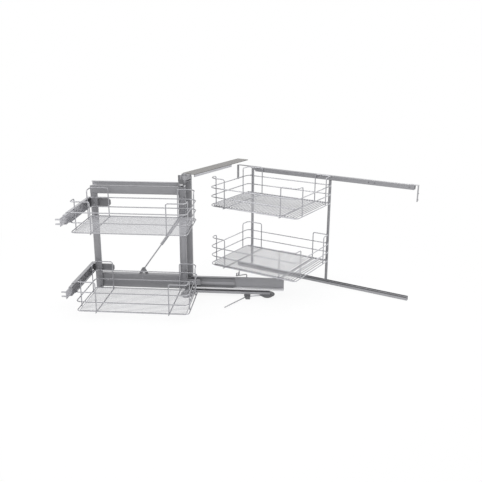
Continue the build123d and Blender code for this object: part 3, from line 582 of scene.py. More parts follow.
@dataclass(frozen=True)
class Finish:
    """Surface finish of a piece, in two shades of grey.

    Attributes:
        slot: Name of the record's material slot.
        level: Main grey.
        worn: Grey of the rubbed or dusty stretches.
        metallic: Share of bare metal.
        rough: Lowest and highest roughness.
        grain: Fine texture.
        relief: Height of the fine texture.
        warm: Warmth of both greys: less blue above nought, more below it.
        drawn: Grains per metre along a rolled bar.
    """

    slot: str
    level: float
    worn: float
    metallic: float
    rough: Pair
    grain: Grain
    relief: float
    warm: float = -0.05
    drawn: float = 22.0

    def shade(self, level: float, tone: float) -> tuple[float, float, float, float]:
        """Colour of a grey g of warmth w: g, g (1 - w / 2) where w > 0, and g (1 - w), by tone and painted light.
        """
        parts = (level, level * (1 - max(self.warm, 0.0) / 2), level * (1 - self.warm))
        return (*(tone * part for part in parts), 1.0)

    def grain_scale(self, axis: Axis) -> Triple:
        """How many grains per metre there are on each axis, drawn out along the bar if rolled."""
        scale = [self.grain.value] * 3
        if self.grain is Grain.ROLLED:
            scale[axis.value] = self.drawn
        return tuple(scale)

    def material(self, bench: Bench, axis: Axis, tone: float) -> bpy.types.Material:
        """Material of this finish for a piece that runs along one of a bench's axes.

        Args:
            bench: Bench of the piece.
            axis: Axis that the piece runs along.
            tone: How much lighter than the finish the piece is drawn, partly as painted light and shade.

        Returns:
            The material, made once for each bench, axis and tone.
        """
        turn = round(math.degrees(bench.heading()))
        name = f"{self.slot}_{turn}_{axis.name.lower()}_{round(100 * tone)}"
        known = bpy.data.materials.get(name)
        if known:
            return known
        material = bpy.data.materials.new(name)
        material.use_nodes = True
        plain = self.shade(self.level, tone)
        material.diffuse_color = plain
        tree = Tree(material.node_tree)
        shader = next(n for n in material.node_tree.nodes if n.type == "BSDF_PRINCIPLED")
        shader.inputs["Metallic"].default_value = self.metallic
        place = tree.node("TexCoord", at=(-1300, 0))
        turned = tree.node("Mapping", {"Rotation": (0.0, 0.0, -bench.heading())}, (-1100, 0))
        stretched = tree.node("Mapping", {"Scale": self.grain_scale(axis)}, (-900, -200))
        grain = {"Scale": 1.0, "Detail": 4.0, "Roughness": 0.6}
        fine = tree.node("TexNoise", grain, (-700, -200))
        wear = {"Scale": 14.0, "Detail": 5.0, "Distortion": 0.4}
        broad = tree.node("TexNoise", wear, (-700, 200))
        patches = tree.ramp((-500, 250), 0.42, 0.72)
        speckle = tree.ramp((-500, -50), 0.35, 0.75, 0.35)
        both = tree.node("Mix", {0: 0.5}, (-250, 200), data_type="FLOAT")
        shades = {6: plain, 7: self.shade(self.worn, tone)}
        colour = tree.node("Mix", shades, (-50, 250), data_type="RGBA")
        ends = {"To Min": self.rough[0], "To Max": self.rough[1]}
        rough = tree.node("MapRange", ends, (-250, -50))
        bump = tree.node("Bump", {"Strength": 0.5, "Distance": self.relief}, (-250, -350))
        tree.join(
            (place, "Object", turned, "Vector"),
            (turned, "Vector", stretched, "Vector"),
            (stretched, "Vector", fine, "Vector"),
            (turned, "Vector", broad, "Vector"),
            (broad, "Fac", patches, "Fac"),
            (fine, "Fac", speckle, "Fac"),
            (patches, "Color", both, 2),
            (speckle, "Color", both, 3),
            (both, 0, colour, 0),
            (colour, 2, shader, "Base Color"),
            (broad, "Fac", rough, "Value"),
            (rough, "Result", shader, "Roughness"),
            (fine, "Fac", bump, "Height"),
            (bump, "Normal", shader, "Normal"),
        )
        return material


FINISHES = {
    made.slot: made
    for made in (
        Finish("frame_silver", 0.27, 0.3, 0.25, (0.34, 0.46), Grain.COATED, 0.03 * MM),
        Finish("dark_coat", 0.19, 0.22, 0.2, (0.36, 0.5), Grain.COATED, 0.03 * MM),
        Finish("chrome_wire", 0.42, 0.37, 0.9, (0.2, 0.34), Grain.PLATED, 0.01 * MM),
        Finish("rail_grey", 0.34, 0.38, 0.3, (0.34, 0.48), Grain.ROLLED, 0.02 * MM),
        Finish("warm_zinc", 0.24, 0.27, 0.3, (0.34, 0.48), Grain.ROLLED, 0.02 * MM, 0.07),
        Finish("slide_steel", 0.29, 0.34, 0.4, (0.26, 0.4), Grain.ROLLED, 0.02 * MM),
        Finish("zinc_steel", 0.36, 0.42, 0.8, (0.28, 0.42), Grain.PLATED, 0.02 * MM),
        Finish("white_plastic", 0.72, 0.66, 0.0, (0.38, 0.5), Grain.MOULDED, 0.03 * MM, -0.02),
        Finish("dark_plastic", 0.13, 0.16, 0.0, (0.4, 0.55), Grain.MOULDED, 0.04 * MM),
        Finish("strut_grey", 0.38, 0.42, 0.4, (0.24, 0.34), Grain.COATED, 0.02 * MM),
    )
}
SLOT_OF = {part["node"]: part["material_slot"] for part in FRAME["record"]["subparts"]}
BODY_OF = {
    node: body
    for body, nodes in FRAME["record"]["behaviour"]["bodies"].items()
    for node in nodes
}
# How much lighter than its finish each piece is drawn. This is partly painted light and shade: pieces in shadow,
# such as the carrier rail, the guide channel and the right post, are lifted, and the rear basket floors, whose
# wires catch less light, are dimmed.
TONES_AND_PAINTED_LIGHT = {
    "slide_middle_member": 0.78,
    "carrier_rail": 1.8,
    "pivot_column": 1.2,
    "frame_left_post": 0.95,
    "frame_right_post": 1.25,
    "frame_guide_channel": 1.35,
    "upper_arm_outer": 1.35,
    "upper_arm_inner": 1.5,
    "upper_door_plate": 2.4,
    "lower_door_plate": 2.2,
    "top_pivot_bracket": 1.7,
    "top_pivot_bolt": 0.6,
    "head_bracket": 1.4,
    "control_rod": 1.2,
    "front_upper_basket_floor": 1.15,
    "front_lower_basket_floor": 1.15,
    "rear_upper_basket_floor": 0.8,
    "rear_lower_basket_floor": 0.84,
    "rear_right_post": 0.74,
    "rear_top_rail": 0.82,
    "top_mounting_plate": 0.7,
    "rear_left_bracket": 0.8,
    "middle_rib": 1.1,
    "plate_edge": 1.9,
    "rail_line": 0.8,
    "head_buffer": 0.7,
    "column_cap": 0.8,
}


class Fitter:
    """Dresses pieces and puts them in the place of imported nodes.

    Attributes:
        merge_within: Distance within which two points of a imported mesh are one.
        flat_within: Angle in degrees within which two of its faces are one.
        broken_from: Angle in degrees from which an edge is broken.
    """

    merge_within = 0.002 * MM
    flat_within = 0.5
    broken_from = 35.0

    def __init__(self) -> None:
        """Starts with no piece fitted."""
        self.fitted: list[str] = []

    def dress(
        self, piece: bpy.types.Object, name: str, body: str, slot: str, bench: Bench, axis: Axis
    ) -> None:
        """Gives a piece its only material and lets it ride on a body.

        Args:
            piece: The piece.
            name: Name that its tone and painted light are kept under.
            body: Body that carries it.
            slot: Its finish.
            bench: Bench that it is laid out on.
            axis: Axis that it runs along.
        """
        # The piece's tone is partly painted light and shade, from the table above.
        material = FINISHES[slot].material(bench, axis, TONES_AND_PAINTED_LIGHT.get(name, 1.0))
        piece.data.materials.append(material)
        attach(piece, body)
        log.info("%s: %d faces on %s", piece.name, len(piece.data.polygons), body)

    def replace(self, piece: bpy.types.Object, node: str, bench: Bench, axis: Axis) -> None:
        """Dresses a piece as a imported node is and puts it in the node's place.

        Args:
            piece: The piece.
            node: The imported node.
            bench: Bench that it is laid out on.
            axis: Axis that it runs along.
        """
        self.dress(piece, node, BODY_OF[node], SLOT_OF[node], bench, axis)
        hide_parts(node)
        self.fitted.append(node)

    def stand_for(self, node: str, shells: list[Shell], bench: Bench, axis: Axis) -> None:
        """Makes a piece from surfaces and puts it in a node's place."""
        self.replace(make_object(f"{node}_piece", shells), node, bench, axis)

    def add(
        self, name: str, carrier: str, shell: Shell, slot: str, bench: Bench, axis: Axis
    ) -> None:
        """Makes a piece that stands for no node and lets it ride where another node does.

        Args:
            name: Name of the piece.
            carrier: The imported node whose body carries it.
            shell: Its surface.
            slot: Its finish.
            bench: Bench that it is laid out on.
            axis: Axis that it runs along.
        """
        self.dress(make_object(name, [shell]), name, BODY_OF[carrier], slot, bench, axis)

    def ease(self, node: str, bench: Bench, axis: Axis, width: float) -> None:
        """Puts a copy with broken edges in a node's place, for pieces with holes or cut-outs.

        Args:
            node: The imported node.
            bench: Bench that it is laid out on.
            axis: Axis that it runs along.
            width: How much each edge is broken.
        """
        source = FRAME["nodes"][node].data
        corners = np.empty(len(source.loops), dtype=np.int64)
        source.loops.foreach_get("vertex_index", corners)
        mesh = bpy.data.meshes.new(f"{node}_piece")
        mesh.from_pydata(points_of(source).tolist(), [], corners.reshape(-1, 3).tolist())
        work = bmesh.new()
        work.from_mesh(mesh)
        bmesh.ops.remove_doubles(work, verts=work.verts, dist=self.merge_within)
        bmesh.ops.dissolve_limit(
            work, angle_limit=math.radians(self.flat_within), verts=work.verts, edges=work.edges
        )
        bmesh.ops.recalc_face_normals(work, faces=work.faces)
        work.to_mesh(mesh)
        work.free()
        mesh.polygons.foreach_set("use_smooth", np.ones(len(mesh.polygons), bool))
        piece = linked(f"{node}_piece", mesh)
        bevel = piece.modifiers.new("broken_edges", "BEVEL")
        bevel.width = width
        bevel.segments = 2
        bevel.limit_method = "ANGLE"
        bevel.angle_limit = math.radians(self.broken_from)
        bevel.use_clamp_overlap = False
        bevel.harden_normals = True
        self.replace(piece, node, bench, axis)


@dataclass(frozen=True)
class PhotoCamera:
    """Camera at the photograph's viewing angle.

    Attributes:
        place: Where it stands.
        turn: Turn to the left of the model's second axis, in degrees.
        tilt: Tilt down, in degrees.
        roll: Roll about its own line of sight, in degrees.
        focal_pixels: Focal length in the photograph's pixels.
        frame_pixels: Width of the photograph in pixels.
    """

    place: Triple = (1.7218, -2.2649, 1.1485)
    turn: float = 31.929
    tilt: float = 17.081
    roll: float = 0.209
    focal_pixels: float = 623.2
    frame_pixels: float = 482.0

    def build(self) -> None:
        """Makes the camera the scene's own.

        Its line of sight is (-sin a cos b, cos a cos b, -sin b) for a turn a and a tilt b.
        """
        a, b = math.radians(self.turn), math.radians(self.tilt)
        sight = Vector((-math.sin(a) * math.cos(b), math.cos(a) * math.cos(b), -math.sin(b)))
        right = Vector((math.cos(a), math.sin(a), 0.0))
        level = Matrix((right, right.cross(sight), -sight)).transposed()
        roll = Matrix.Rotation(math.radians(self.roll), 3, "Z")
        data = bpy.data.cameras.new("photo_camera")
        data.sensor_fit = "HORIZONTAL"
        data.lens = self.focal_pixels * data.sensor_width / self.frame_pixels
        data.clip_end = 100.0
        camera = linked("photo_camera", data)
        camera.matrix_world = Matrix.Translation(self.place) @ (level @ roll).to_4x4()
        bpy.context.scene.camera = camera


@dataclass(frozen=True)
class Studio:
    """Pale floor, soft lamps and a plain pale surround.

    Attributes:
        floor_drop: How far the floor lies below the model.
        floor_half: Half the floor's side.
        floor_grey: Grey of the floor as a matt surface.
        surround: Strength of the surround as a light.
        shade_share: Share of the floor near the model that takes the shadow.
        shade_reach: Distances between which that share falls to nothing.
        aim: Point that the lamps face.
        lamps: Name, place, side and power of each lamp.
    """

    floor_drop: float = 0.2 * MM
    floor_half: float = 14.0
    floor_grey: float = 0.9
    surround: float = 0.68
    shade_share: float = 0.13
    shade_reach: Pair = (0.7, 1.6)
    aim: Triple = (0.2, 0.0, 0.3)
    lamps: tuple[tuple[str, Triple, float, float], ...] = (
        ("key", (-1.6, -2.6, 2.9), 2.2, 56.0),
        ("fill", (3.0, -1.2, 2.0), 2.4, 25.0),
        ("top", (0.4, 0.4, 3.4), 2.6, 30.0),
        ("back", (0.6, 3.2, 2.2), 2.2, 22.0),
    )

    def build(self) -> None:
        """Makes the floor, the surround and the lamps."""
        self.floor()
        self.world()
        for name, place, size, power in self.lamps:
            data = bpy.data.lights.new(name, "AREA")
            data.size = size
            data.energy = power
            lamp = linked(name, data)
            lamp.location = place
            aim = Vector(self.aim) - Vector(place)
            lamp.rotation_euler = aim.to_track_quat("-Z", "Y").to_euler()
        bpy.context.scene.view_settings.view_transform = "Standard"

    def floor(self) -> None:
        """Large square under the model."""
        h, z = self.floor_half, -self.floor_drop
        mesh = bpy.data.meshes.new("floor")
        mesh.from_pydata([(-h, -h, z), (h, -h, z), (h, h, z), (-h, h, z)], [], [(0, 1, 2, 3)])
        floor = linked("floor", mesh)
        material = bpy.data.materials.new("pale_floor")
        material.use_nodes = True
        tree = Tree(material.node_tree, clear=True)
        output = tree.node("OutputMaterial")
        seen = tree.node("LightPath")
        place = tree.node("TexCoord")
        far = tree.node("VectorMath", operation="LENGTH")
        near, end = self.shade_reach
        fall = {"From Min": near, "From Max": end, "To Min": 1.0 - self.shade_share, "To Max": 1.0}
        level = tree.node("MapRange", fall, interpolation_type="SMOOTHSTEP")
        share = tree.node("Math", operation="MULTIPLY")
        grey = self.floor_grey
        matt = tree.node("BsdfDiffuse", {"Color": (grey, grey, grey, 1.0)})
        white = tree.node("Emission", {"Color": (1.0, 1.0, 1.0, 1.0)})
        mix = tree.node("MixShader")
        tree.join(
            (place, "Object", far, 0),
            (far, "Value", level, "Value"),
            (seen, "Is Camera Ray", share, 0),
            (level, "Result", share, 1),
            (share, 0, mix, 0),
            (matt, 0, mix, 1),
            (white, 0, mix, 2),
            (mix, 0, output, "Surface"),
        )
        mesh.materials.append(material)

    def world(self) -> None:
        """White to the camera and in reflections, and a plain level as a light."""
        world = bpy.data.worlds.new("surround")
        bpy.context.scene.world = world
        world.use_nodes = True
        tree = Tree(world.node_tree, clear=True)
        output = tree.node("OutputWorld")
        seen = tree.node("LightPath")
        either = tree.node("Math", operation="MAXIMUM")
        any_ray = tree.node("Math", operation="MAXIMUM")
        level = tree.node("MapRange", {"To Min": self.surround, "To Max": 1.0})
        back = tree.node("Background", {"Color": (1.0, 1.0, 1.0, 1.0)})
        tree.join(
            (seen, "Is Camera Ray", either, 0),
            (seen, "Is Glossy Ray", either, 1),
            (either, 0, any_ray, 0),
            (seen, "Is Transmission Ray", any_ray, 1),
            (any_ray, 0, level, "Value"),
            (level, "Result", back, "Strength"),
            (back, 0, output, "Surface"),
        )


@dataclass(frozen=True)
class WireBasket:
    """Basket of three rims, four corner hoops, two cross wires and a floor of thin wires.

    Attributes:
        name: Start of its nodes' names.
        bench: Axes that it is laid out on.
        long_ends: Ends of the rims' centre line along the bench.
        side_ends: Its two sides across the bench.
        height: Height of the lowest rim's centre.
        long_wires: Number of floor wires along the bench.
        cross_wires: Number of floor wires across it.
        floor_radius: Radius of the floor wires.
        rim_radius: Radius of all other wires.
        floor_margin: Distance of the outermost floor wires from the start of the floor.
        weld: How deep two wires sink into each other.
        passing_corner: Radius at the first corner, which passes the other baskets.
        corner: Radius at the other three corners.
        bend: Radius of a hoop's upper bends.
        rim_spacing: Distance from rim to rim.
        hoop_rise: Height of the hoops above the lowest rim.
        reach_long: Distance of a hoop's foot from the basket's end.
        reach_short: Distance of its other foot from the basket's side.
        stub: How far the cross wires stand out at each side.
        grid_inset: Distance of the floor's edge from the rims' centre line.
        sides: Number of points round a thick wire.
        floor_sides: Number of points round a floor wire.
    """

    name: str
    bench: Bench
    long_ends: Pair
    side_ends: Pair
    height: float
    long_wires: int
    cross_wires: int
    floor_radius: float
    rim_radius: float = 2.5 * MM
    floor_margin: float = 3 * MM
    weld: float = 0.5 * MM
    passing_corner: float = 38 * MM
    corner: float = 18 * MM
    bend: float = 9 * MM
    rim_spacing: float = 44.5 * MM
    hoop_rise: float = 135 * MM
    reach_long: float = 88 * MM
    reach_short: float = 58 * MM
    stub: float = 8 * MM
    grid_inset: float = 8.34 * MM
    sides: int = 14
    floor_sides: int = 10

    def inset(self) -> float:
        """Distance from a rim's centre line to that of a wire welded inside it."""
        return 2 * self.rim_radius - self.weld

    def wire(
        self, points: np.ndarray, reference: np.ndarray = UPWARD, closed: bool = False
    ) -> Shell:
        """Thick wire along points of the bench."""
        return tube(self.bench.world(points), self.rim_radius, reference, self.sides, closed)

    def rims(self) -> list[Shell]:
        """Three closed oblongs with rounded corners, one above the other."""
        (right, left), (back, front) = self.long_ends, self.side_ends
        oblong = np.array([[right, back], [left, back], [left, front], [right, front]])
        radii = np.array([self.passing_corner, self.corner, self.corner, self.corner])
        line = rounded_line(oblong, radii, closed=True, steps=13)
        heights = self.height + self.rim_spacing * np.arange(3)
        return [self.wire(np.insert(line, 2, height, axis=1), closed=True) for height in heights]

    def hoops(self) -> list[Shell]:
        """Four wires that rise from the floor, turn a corner above the rims and go down again."""
        top = self.height + self.hoop_rise
        foot = self.height - self.rim_radius
        inset = self.inset()
        shells = []
        for x, inward_x in zip(self.long_ends, (1.0, -1.0)):
            for y, inward_y in zip(self.side_ends, (1.0, -1.0)):
                near_x, near_y = x + inward_x * inset, y + inward_y * inset
                far_x, far_y = x + inward_x * self.reach_long, y + inward_y * self.reach_short
                passes = inward_x > 0 and inward_y > 0
                curve = (self.passing_corner if passes else self.corner) - inset
                corners = [
                    [far_x, near_y, foot],
                    [far_x, near_y, top],
                    [near_x, near_y, top],
                    [near_x, far_y, top],
                    [near_x, far_y, foot],
                ]
                bends = np.array([self.bend, curve, self.bend])
                line = rounded_line(np.array(corners), bends, steps=10)
                reference = self.bench.world(np.array([inward_x, inward_y, 0.0]))
                shells.append(self.wire(line, reference))
        return shells

    def cross_pieces(self) -> list[Shell]:
        """Two wires under the lowest rim that stand a little proud of it."""
        (right, left), (back, front) = self.long_ends, self.side_ends
        z = self.height - self.inset()
        return [
            self.wire(np.array([[x, back - self.stub, z], [x, front + self.stub, z]]))
            for x in (right + self.reach_long, left - self.reach_long)
        ]

    def trim(self, places: np.ndarray, ends: Pair, first_arc: float) -> np.ndarray:
        """How much shorter floor wires are at one end.

        A wire at a distance d past the start of a corner arc of radius r is shorter at that end
        by r - sqrt(r r - d d).

        Args:
            places: Places of the wires between the floor's two edges beside them.
            ends: Places of those edges.
            first_arc: Radius of the arc at the first edge.

        Returns:
            One length per wire.
        """
        last_arc = self.corner - self.grid_inset
        into_first = np.clip(first_arc - (places - ends[0]), 0.0, first_arc)
        into_last = np.clip(last_arc - (ends[1] - places), 0.0, last_arc)
        at_first = first_arc - np.sqrt(first_arc**2 - into_first**2)
        at_last = last_arc - np.sqrt(last_arc**2 - into_last**2)
        return np.maximum(at_first, at_last)

    def grid(self) -> list[Shell]:
        """Floor wires inside the lowest rim, those across lying on those along."""
        low_z = self.height - self.rim_radius + self.weld + self.floor_radius
        high_z = low_z + 2 * self.floor_radius - self.weld
        inset = self.grid_inset
        margin = inset + self.floor_margin
        wide, narrow = self.passing_corner - inset, self.corner - inset
        shells = []
        for run, side, count, z, order in (
            (self.long_ends, self.side_ends, self.long_wires, low_z, [0, 1, 2]),
            (self.side_ends, self.long_ends, self.cross_wires, high_z, [1, 0, 2]),
        ):
            places = np.linspace(side[0] + margin, side[1] - margin, count)
            edges = (side[0] + inset, side[1] - inset)
            starts = run[0] + inset + self.trim(places, edges, wide)
            ends = run[1] - inset - self.trim(places, edges, narrow)
            for place, start, end in zip(places, starts, ends):
                line = np.array([[start, place, z], [end, place, z]])[:, order]
                world = self.bench.world(line)
                shells.append(tube(world, self.floor_radius, UPWARD, self.floor_sides))
        return shells

    def build(self, fitter: Fitter) -> None:
        """Makes the basket's two pieces."""
        sides = self.rims() + self.hoops() + self.cross_pieces()
        fitter.stand_for(f"{self.name}_sides", sides, self.bench, Axis.ALONG)
        fitter.stand_for(f"{self.name}_floor", self.grid(), self.bench, Axis.ALONG)


@dataclass(frozen=True)
class SheetPieces:
    """Channels and tubes folded from sheet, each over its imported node.

    Attributes:
        sheet: Thickness of the sheet.
        fold: Radius of the folds.
        pieces: Node, axis and open side of each.
    """

    sheet: float = 2.0 * MM
    fold: float = 2.0 * MM
    pieces: tuple[tuple[str, Axis, Open], ...] = (
        ("frame_guide_channel", Axis.ALONG, Open.RIGHT),
        ("frame_top_rail", Axis.ALONG, Open.NONE),
        ("frame_left_post", Axis.UP, Open.NONE),
        ("frame_right_post", Axis.UP, Open.ABOVE),
        ("frame_bottom_channel", Axis.ALONG, Open.LEFT),
        ("slide_outer_member", Axis.ALONG, Open.RIGHT),
        ("slide_middle_member", Axis.ALONG, Open.RIGHT),
        ("slide_inner_member", Axis.ALONG, Open.LEFT),
        ("upper_arm_outer", Axis.ACROSS, Open.LEFT),
        ("lower_arm_outer", Axis.ACROSS, Open.LEFT),
        ("pivot_column", Axis.UP, Open.NONE),
    )

    def build(self, fitter: Fitter) -> None:
        """Makes the front frame's, the slide's and the arms' folded pieces and the column."""
        for node, axis, gap in self.pieces:
            ends, low, high = SWUNG.section(node, axis)
            line = section_line(low, high, self.sheet / 2, gap)
            closed = gap is Open.NONE
            shell = folded_sheet(SWUNG, axis, ends, line, self.sheet, self.fold, closed)
            fitter.stand_for(node, [shell], SWUNG, axis)


@dataclass(frozen=True)
class TurnedPieces:
    """Rings, bolts, feet and screw heads turned about an axis.

    Attributes:
        pin_bore: Radius of the hole over the lower pivot pin.
        bolt_bore: Radius of the hole over the upper pivot bolt.
        bolt_radius: Radius of that bolt's shank.
        head_height: Height of its head.
        bolt_bends: Radii of its corners, from the foot up.
        axle_bore: Radius of the roller's hole.
        axle_radius: Radius of the roller's axle.
        axle_head: Height of the axle's head.
        foot_base: Radius of the foot on the floor.
        foot_rim: Height of the foot's rim.
        hexagon_rise: Height of the hexagons' side and of the whole, as shares of their width.
        hexagon_edge: Width of their broken edge, as such a share.
        hexagon_spread: Distance between the two of a pair.
        channel_screw: Radius and height of the screw heads in the bottom channel.
        channel_screws: Places of those heads along the frame and up.
    """

    pin_bore: float = 5.05 * MM
    bolt_bore: float = 6.05 * MM
    bolt_radius: float = 6.0 * MM
    head_height: float = 8.0 * MM
    bolt_bends: tuple[float, ...] = (0.8 * MM, 0.2 * MM, 0.5 * MM, 3.5 * MM)
    axle_bore: float = 2.55 * MM
    axle_radius: float = 2.5 * MM
    axle_head: float = 2.0 * MM
    foot_base: float = 22.0 * MM
    foot_rim: float = 4.0 * MM
    hexagon_rise: Pair = (0.69, 0.999)
    hexagon_edge: float = 0.3
    hexagon_spread: float = 14 * MM
    channel_screw: Pair = (3.8 * MM, 1.6 * MM)
    channel_screws: tuple[Pair, ...] = ((55 * MM, 74 * MM), (218 * MM, 79 * MM))

    def turn(
        self, fitter: Fitter, bench: Bench, node: str, axis: Axis, profile: np.ndarray
    ) -> None:
        """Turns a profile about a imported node's middle and puts it in the node's place.

        Args:
            fitter: What fits the pieces.
            bench: Bench that the node is measured on.
            node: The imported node.
            axis: Axis that it is turned about.
            profile: Rows of radius and height, counted along that axis of the bench.
        """
        low, high = bench.span(node)
        root = (low + high) / 2
        root[axis.value] = 0.0
        shell = lathe(profile, bench.world(root), bench.axes()[axis.value])
        fitter.stand_for(node, [shell], bench, axis)

    def rings(self, fitter: Fitter) -> None:
        """Turntable, head bush and guide roller, each with its hole."""
        for node, axis, bore, ease in (
            ("turntable", Axis.UP, self.pin_bore, 0.4 * MM),
            ("head_bush", Axis.UP, self.bolt_bore, 0.4 * MM),
            ("guide_roller", Axis.ACROSS, self.axle_bore, 1.0 * MM),
        ):
            outer, start, end = SWUNG.girth(node, axis, (axis.value + 1) % 3)
            profile = ring(bore, outer, (start, end), ease, steps=5)
            self.turn(fitter, SWUNG, node, axis, profile)

    def solids(self, fitter: Fitter) -> None:
        """Upper pivot bolt, roller axle, foot that widens to its rim and the strut's flange."""
        node = "top_pivot_bolt"
        radius, low, high = CABINET.girth(node, Axis.UP)
        seat = high - self.head_height
        rim = [(self.bolt_radius, low), (self.bolt_radius, seat), (radius, seat), (radius, high)]
        profile = solid(rim, np.array(self.bolt_bends), steps=6)
        self.turn(fitter, CABINET, node, Axis.UP, profile)
        node = "roller_axle"
        radius, low, high = SWUNG.girth(node, Axis.ACROSS)
        seat = high - self.axle_head
        rim = [(self.axle_radius, low), (self.axle_radius, seat), (radius, seat), (radius, high)]
        self.turn(fitter, SWUNG, node, Axis.ACROSS, solid(rim, bends=0.3 * MM, steps=4))
        node = "glide_foot"
        radius, low, high = SWUNG.girth(node, Axis.UP)
        rim = [(self.foot_base, low), (radius, high - self.foot_rim), (radius, high)]
        self.turn(fitter, SWUNG, node, Axis.UP, solid(rim, bends=1.0 * MM, steps=4))
        node = "strut_upper_stud"
        radius, low, high = SWUNG.girth(node, Axis.ACROSS)
        rim = [(radius, low), (radius, high)]
        self.turn(fitter, SWUNG, node, Axis.ACROSS, solid(rim, bends=0.4 * MM, steps=4))

    def rivets(self) -> Shell:
        """Low round heads on the two straps of the rear top rail."""
        low, high = CABINET.span("bracket_rivets")
        radius, middle = (high[1] - low[1]) / 2, (low[1] + high[1]) / 2
        places = [[x, middle, low[2]] for x in (low[0] + radius, high[0] - radius)]
        return scattered(dome(radius, high[2] - low[2]), UPWARD, sides=32, places=places)

    def hexagons(self) -> Shell:
        """Six-sided screw heads on the left post, with a broken upper edge."""
        low, high = SWUNG.span("frame_screws")
        radius, wide = (high[0] - low[0]) / 2, high[1] - low[1]
        side, crown = (share * wide for share in self.hexagon_rise)
        rim = [(0.0, 0.0), (radius, 0.0), (radius, side)]
        rim += [(radius - self.hexagon_edge * wide, crown), (0.0, crown)]
        across = radius * math.cos(math.pi / 6)
        bottom, top = low[2] + across, high[2] - across
        heights = (bottom, bottom + self.hexagon_spread, top - self.hexagon_spread, top)
        places = [[(low[0] + high[0]) / 2, low[1], height] for height in heights]
        places = SWUNG.world(np.array(places))
        return scattered(np.array(rim), SWUNG.axes()[1], sides=6, places=places)

    def channel_heads(self) -> Shell:
        """Low round screw heads in the bottom channel's front."""
        front = SWUNG.span("frame_bottom_channel")[1][1]
        places = SWUNG.world(np.array([[x, front, z] for x, z in self.channel_screws]))
        head = dome(*self.channel_screw)
        return scattered(head, SWUNG.axes()[1], sides=32, places=places)

    def build(self, fitter: Fitter) -> None:
        """Makes the turned pieces."""
        self.rings(fitter)
        self.solids(fitter)
        fitter.stand_for("bracket_rivets", [self.rivets()], CABINET, Axis.UP)
        fitter.stand_for("frame_screws", [self.hexagons()], SWUNG, Axis.ACROSS)
        carrier, heads = "frame_bottom_channel", self.channel_heads()
        fitter.add("channel_screw_heads", carrier, heads, "zinc_steel", SWUNG, Axis.UP)


@dataclass(frozen=True)
class StrutPieces:
    """Gas strut between the frame's bottom channel and the column.

    Attributes:
        lower: Lower pin along the frame, across it and up.
        upper: Upper end in the same axes.
        eye_radius: Radius of the end fittings.
        eye_width: Thickness of the lower one.
        pin_bore: Radius of its hole.
        rod_radius: Radius of the rod.
        rod_foot: Radius of the rod's foot, and where it starts, narrows and ends from the pin.
        tube_radius: Radius of the cylinder.
        tube_start: Distance of the cylinder from the lower pin.
        tube_bends: Radii of the cylinder's corners, from its hole to its upper end.
        neck: Length of the neck at its upper end.
        neck_radius: Radius of the neck.
        neck_slope: Length of the shoulder's slope down to it.
        engaged: Length of the rod inside the cylinder.
        bore: Radius and depth of the cylinder's hole.
    """

    lower: Triple = (213 * MM, -24 * MM, 122 * MM)
    upper: Triple = (-6 * MM, -24 * MM, 428 * MM)
    eye_radius: float = 6.5 * MM
    eye_width: float = 7.0 * MM
    pin_bore: float = 3.12 * MM
    rod_radius: float = 3.2 * MM
    rod_foot: tuple[float, ...] = (3.36 * MM, 4.12 * MM, 13.65 * MM, 14.95 * MM)
    tube_radius: float = 7.0 * MM
    tube_start: float = 156 * MM
    tube_bends: tuple[float, ...] = (0.3 * MM, 0.3 * MM, 1.6 * MM, 1.8 * MM, 0.5 * MM, 0.5 * MM)
    neck: float = 14 * MM
    neck_radius: float = 4.0 * MM
    neck_slope: float = 1.0 * MM
    engaged: float = 90 * MM
    bore: Pair = (3.3 * MM, 120 * MM)

    def line(self) -> tuple[np.ndarray, np.ndarray, float]:
        """Lower pin, direction to the upper end and the distance between the two."""
        start = SWUNG.world(np.array(self.lower))
        reach = SWUNG.world(np.array(self.upper)) - start
        return start, unit(reach), float(np.linalg.norm(reach))

    def rod(self) -> list[Shell]:
        """Rod with an eye on the lower pin."""
        start, way, _ = self.line()
        half = self.eye_width / 2
        eye = ring(self.pin_bore, self.eye_radius, (-half, half), ease=0.5 * MM, steps=4)
        foot, low, narrows, high = self.rod_foot
        rim = [(foot, low), (foot, narrows), (self.rod_radius, high)]
        rim.append((self.rod_radius, self.tube_start + self.engaged))
        shank = solid(rim, bends=0.4 * MM, steps=4)
        return [lathe(eye, start, SWUNG.axes()[1]), lathe(shank, start, way)]

    def cylinder(self) -> list[Shell]:
        """Bored cylinder with rounded shoulders, a neck and a socket at its upper end."""
        start, way, length = self.line()
        bore_radius, bore_depth = self.bore
        end = length - self.neck
        rim = [
            (bore_radius, self.tube_start + bore_depth),
            (bore_radius, self.tube_start),
            (self.tube_radius, self.tube_start),
            (self.tube_radius, end),
            (self.neck_radius, end + self.neck_slope),
            (self.neck_radius, length),
        ]
        body = lathe(solid(rim, np.array(self.tube_bends), steps=5), start, way)
        half = self.tube_radius
        rim = [(self.eye_radius, -half), (self.eye_radius, half)]
        socket = solid(rim, bends=1.2 * MM, steps=5)
        return [body, lathe(socket, SWUNG.world(np.array(self.upper)), SWUNG.axes()[1])]

    def build(self, fitter: Fitter) -> None:
        """Makes the rod and the cylinder."""
        fitter.stand_for("strut_rod", self.rod(), SWUNG, Axis.UP)
        fitter.stand_for("strut_cylinder", self.cylinder(), SWUNG, Axis.UP)


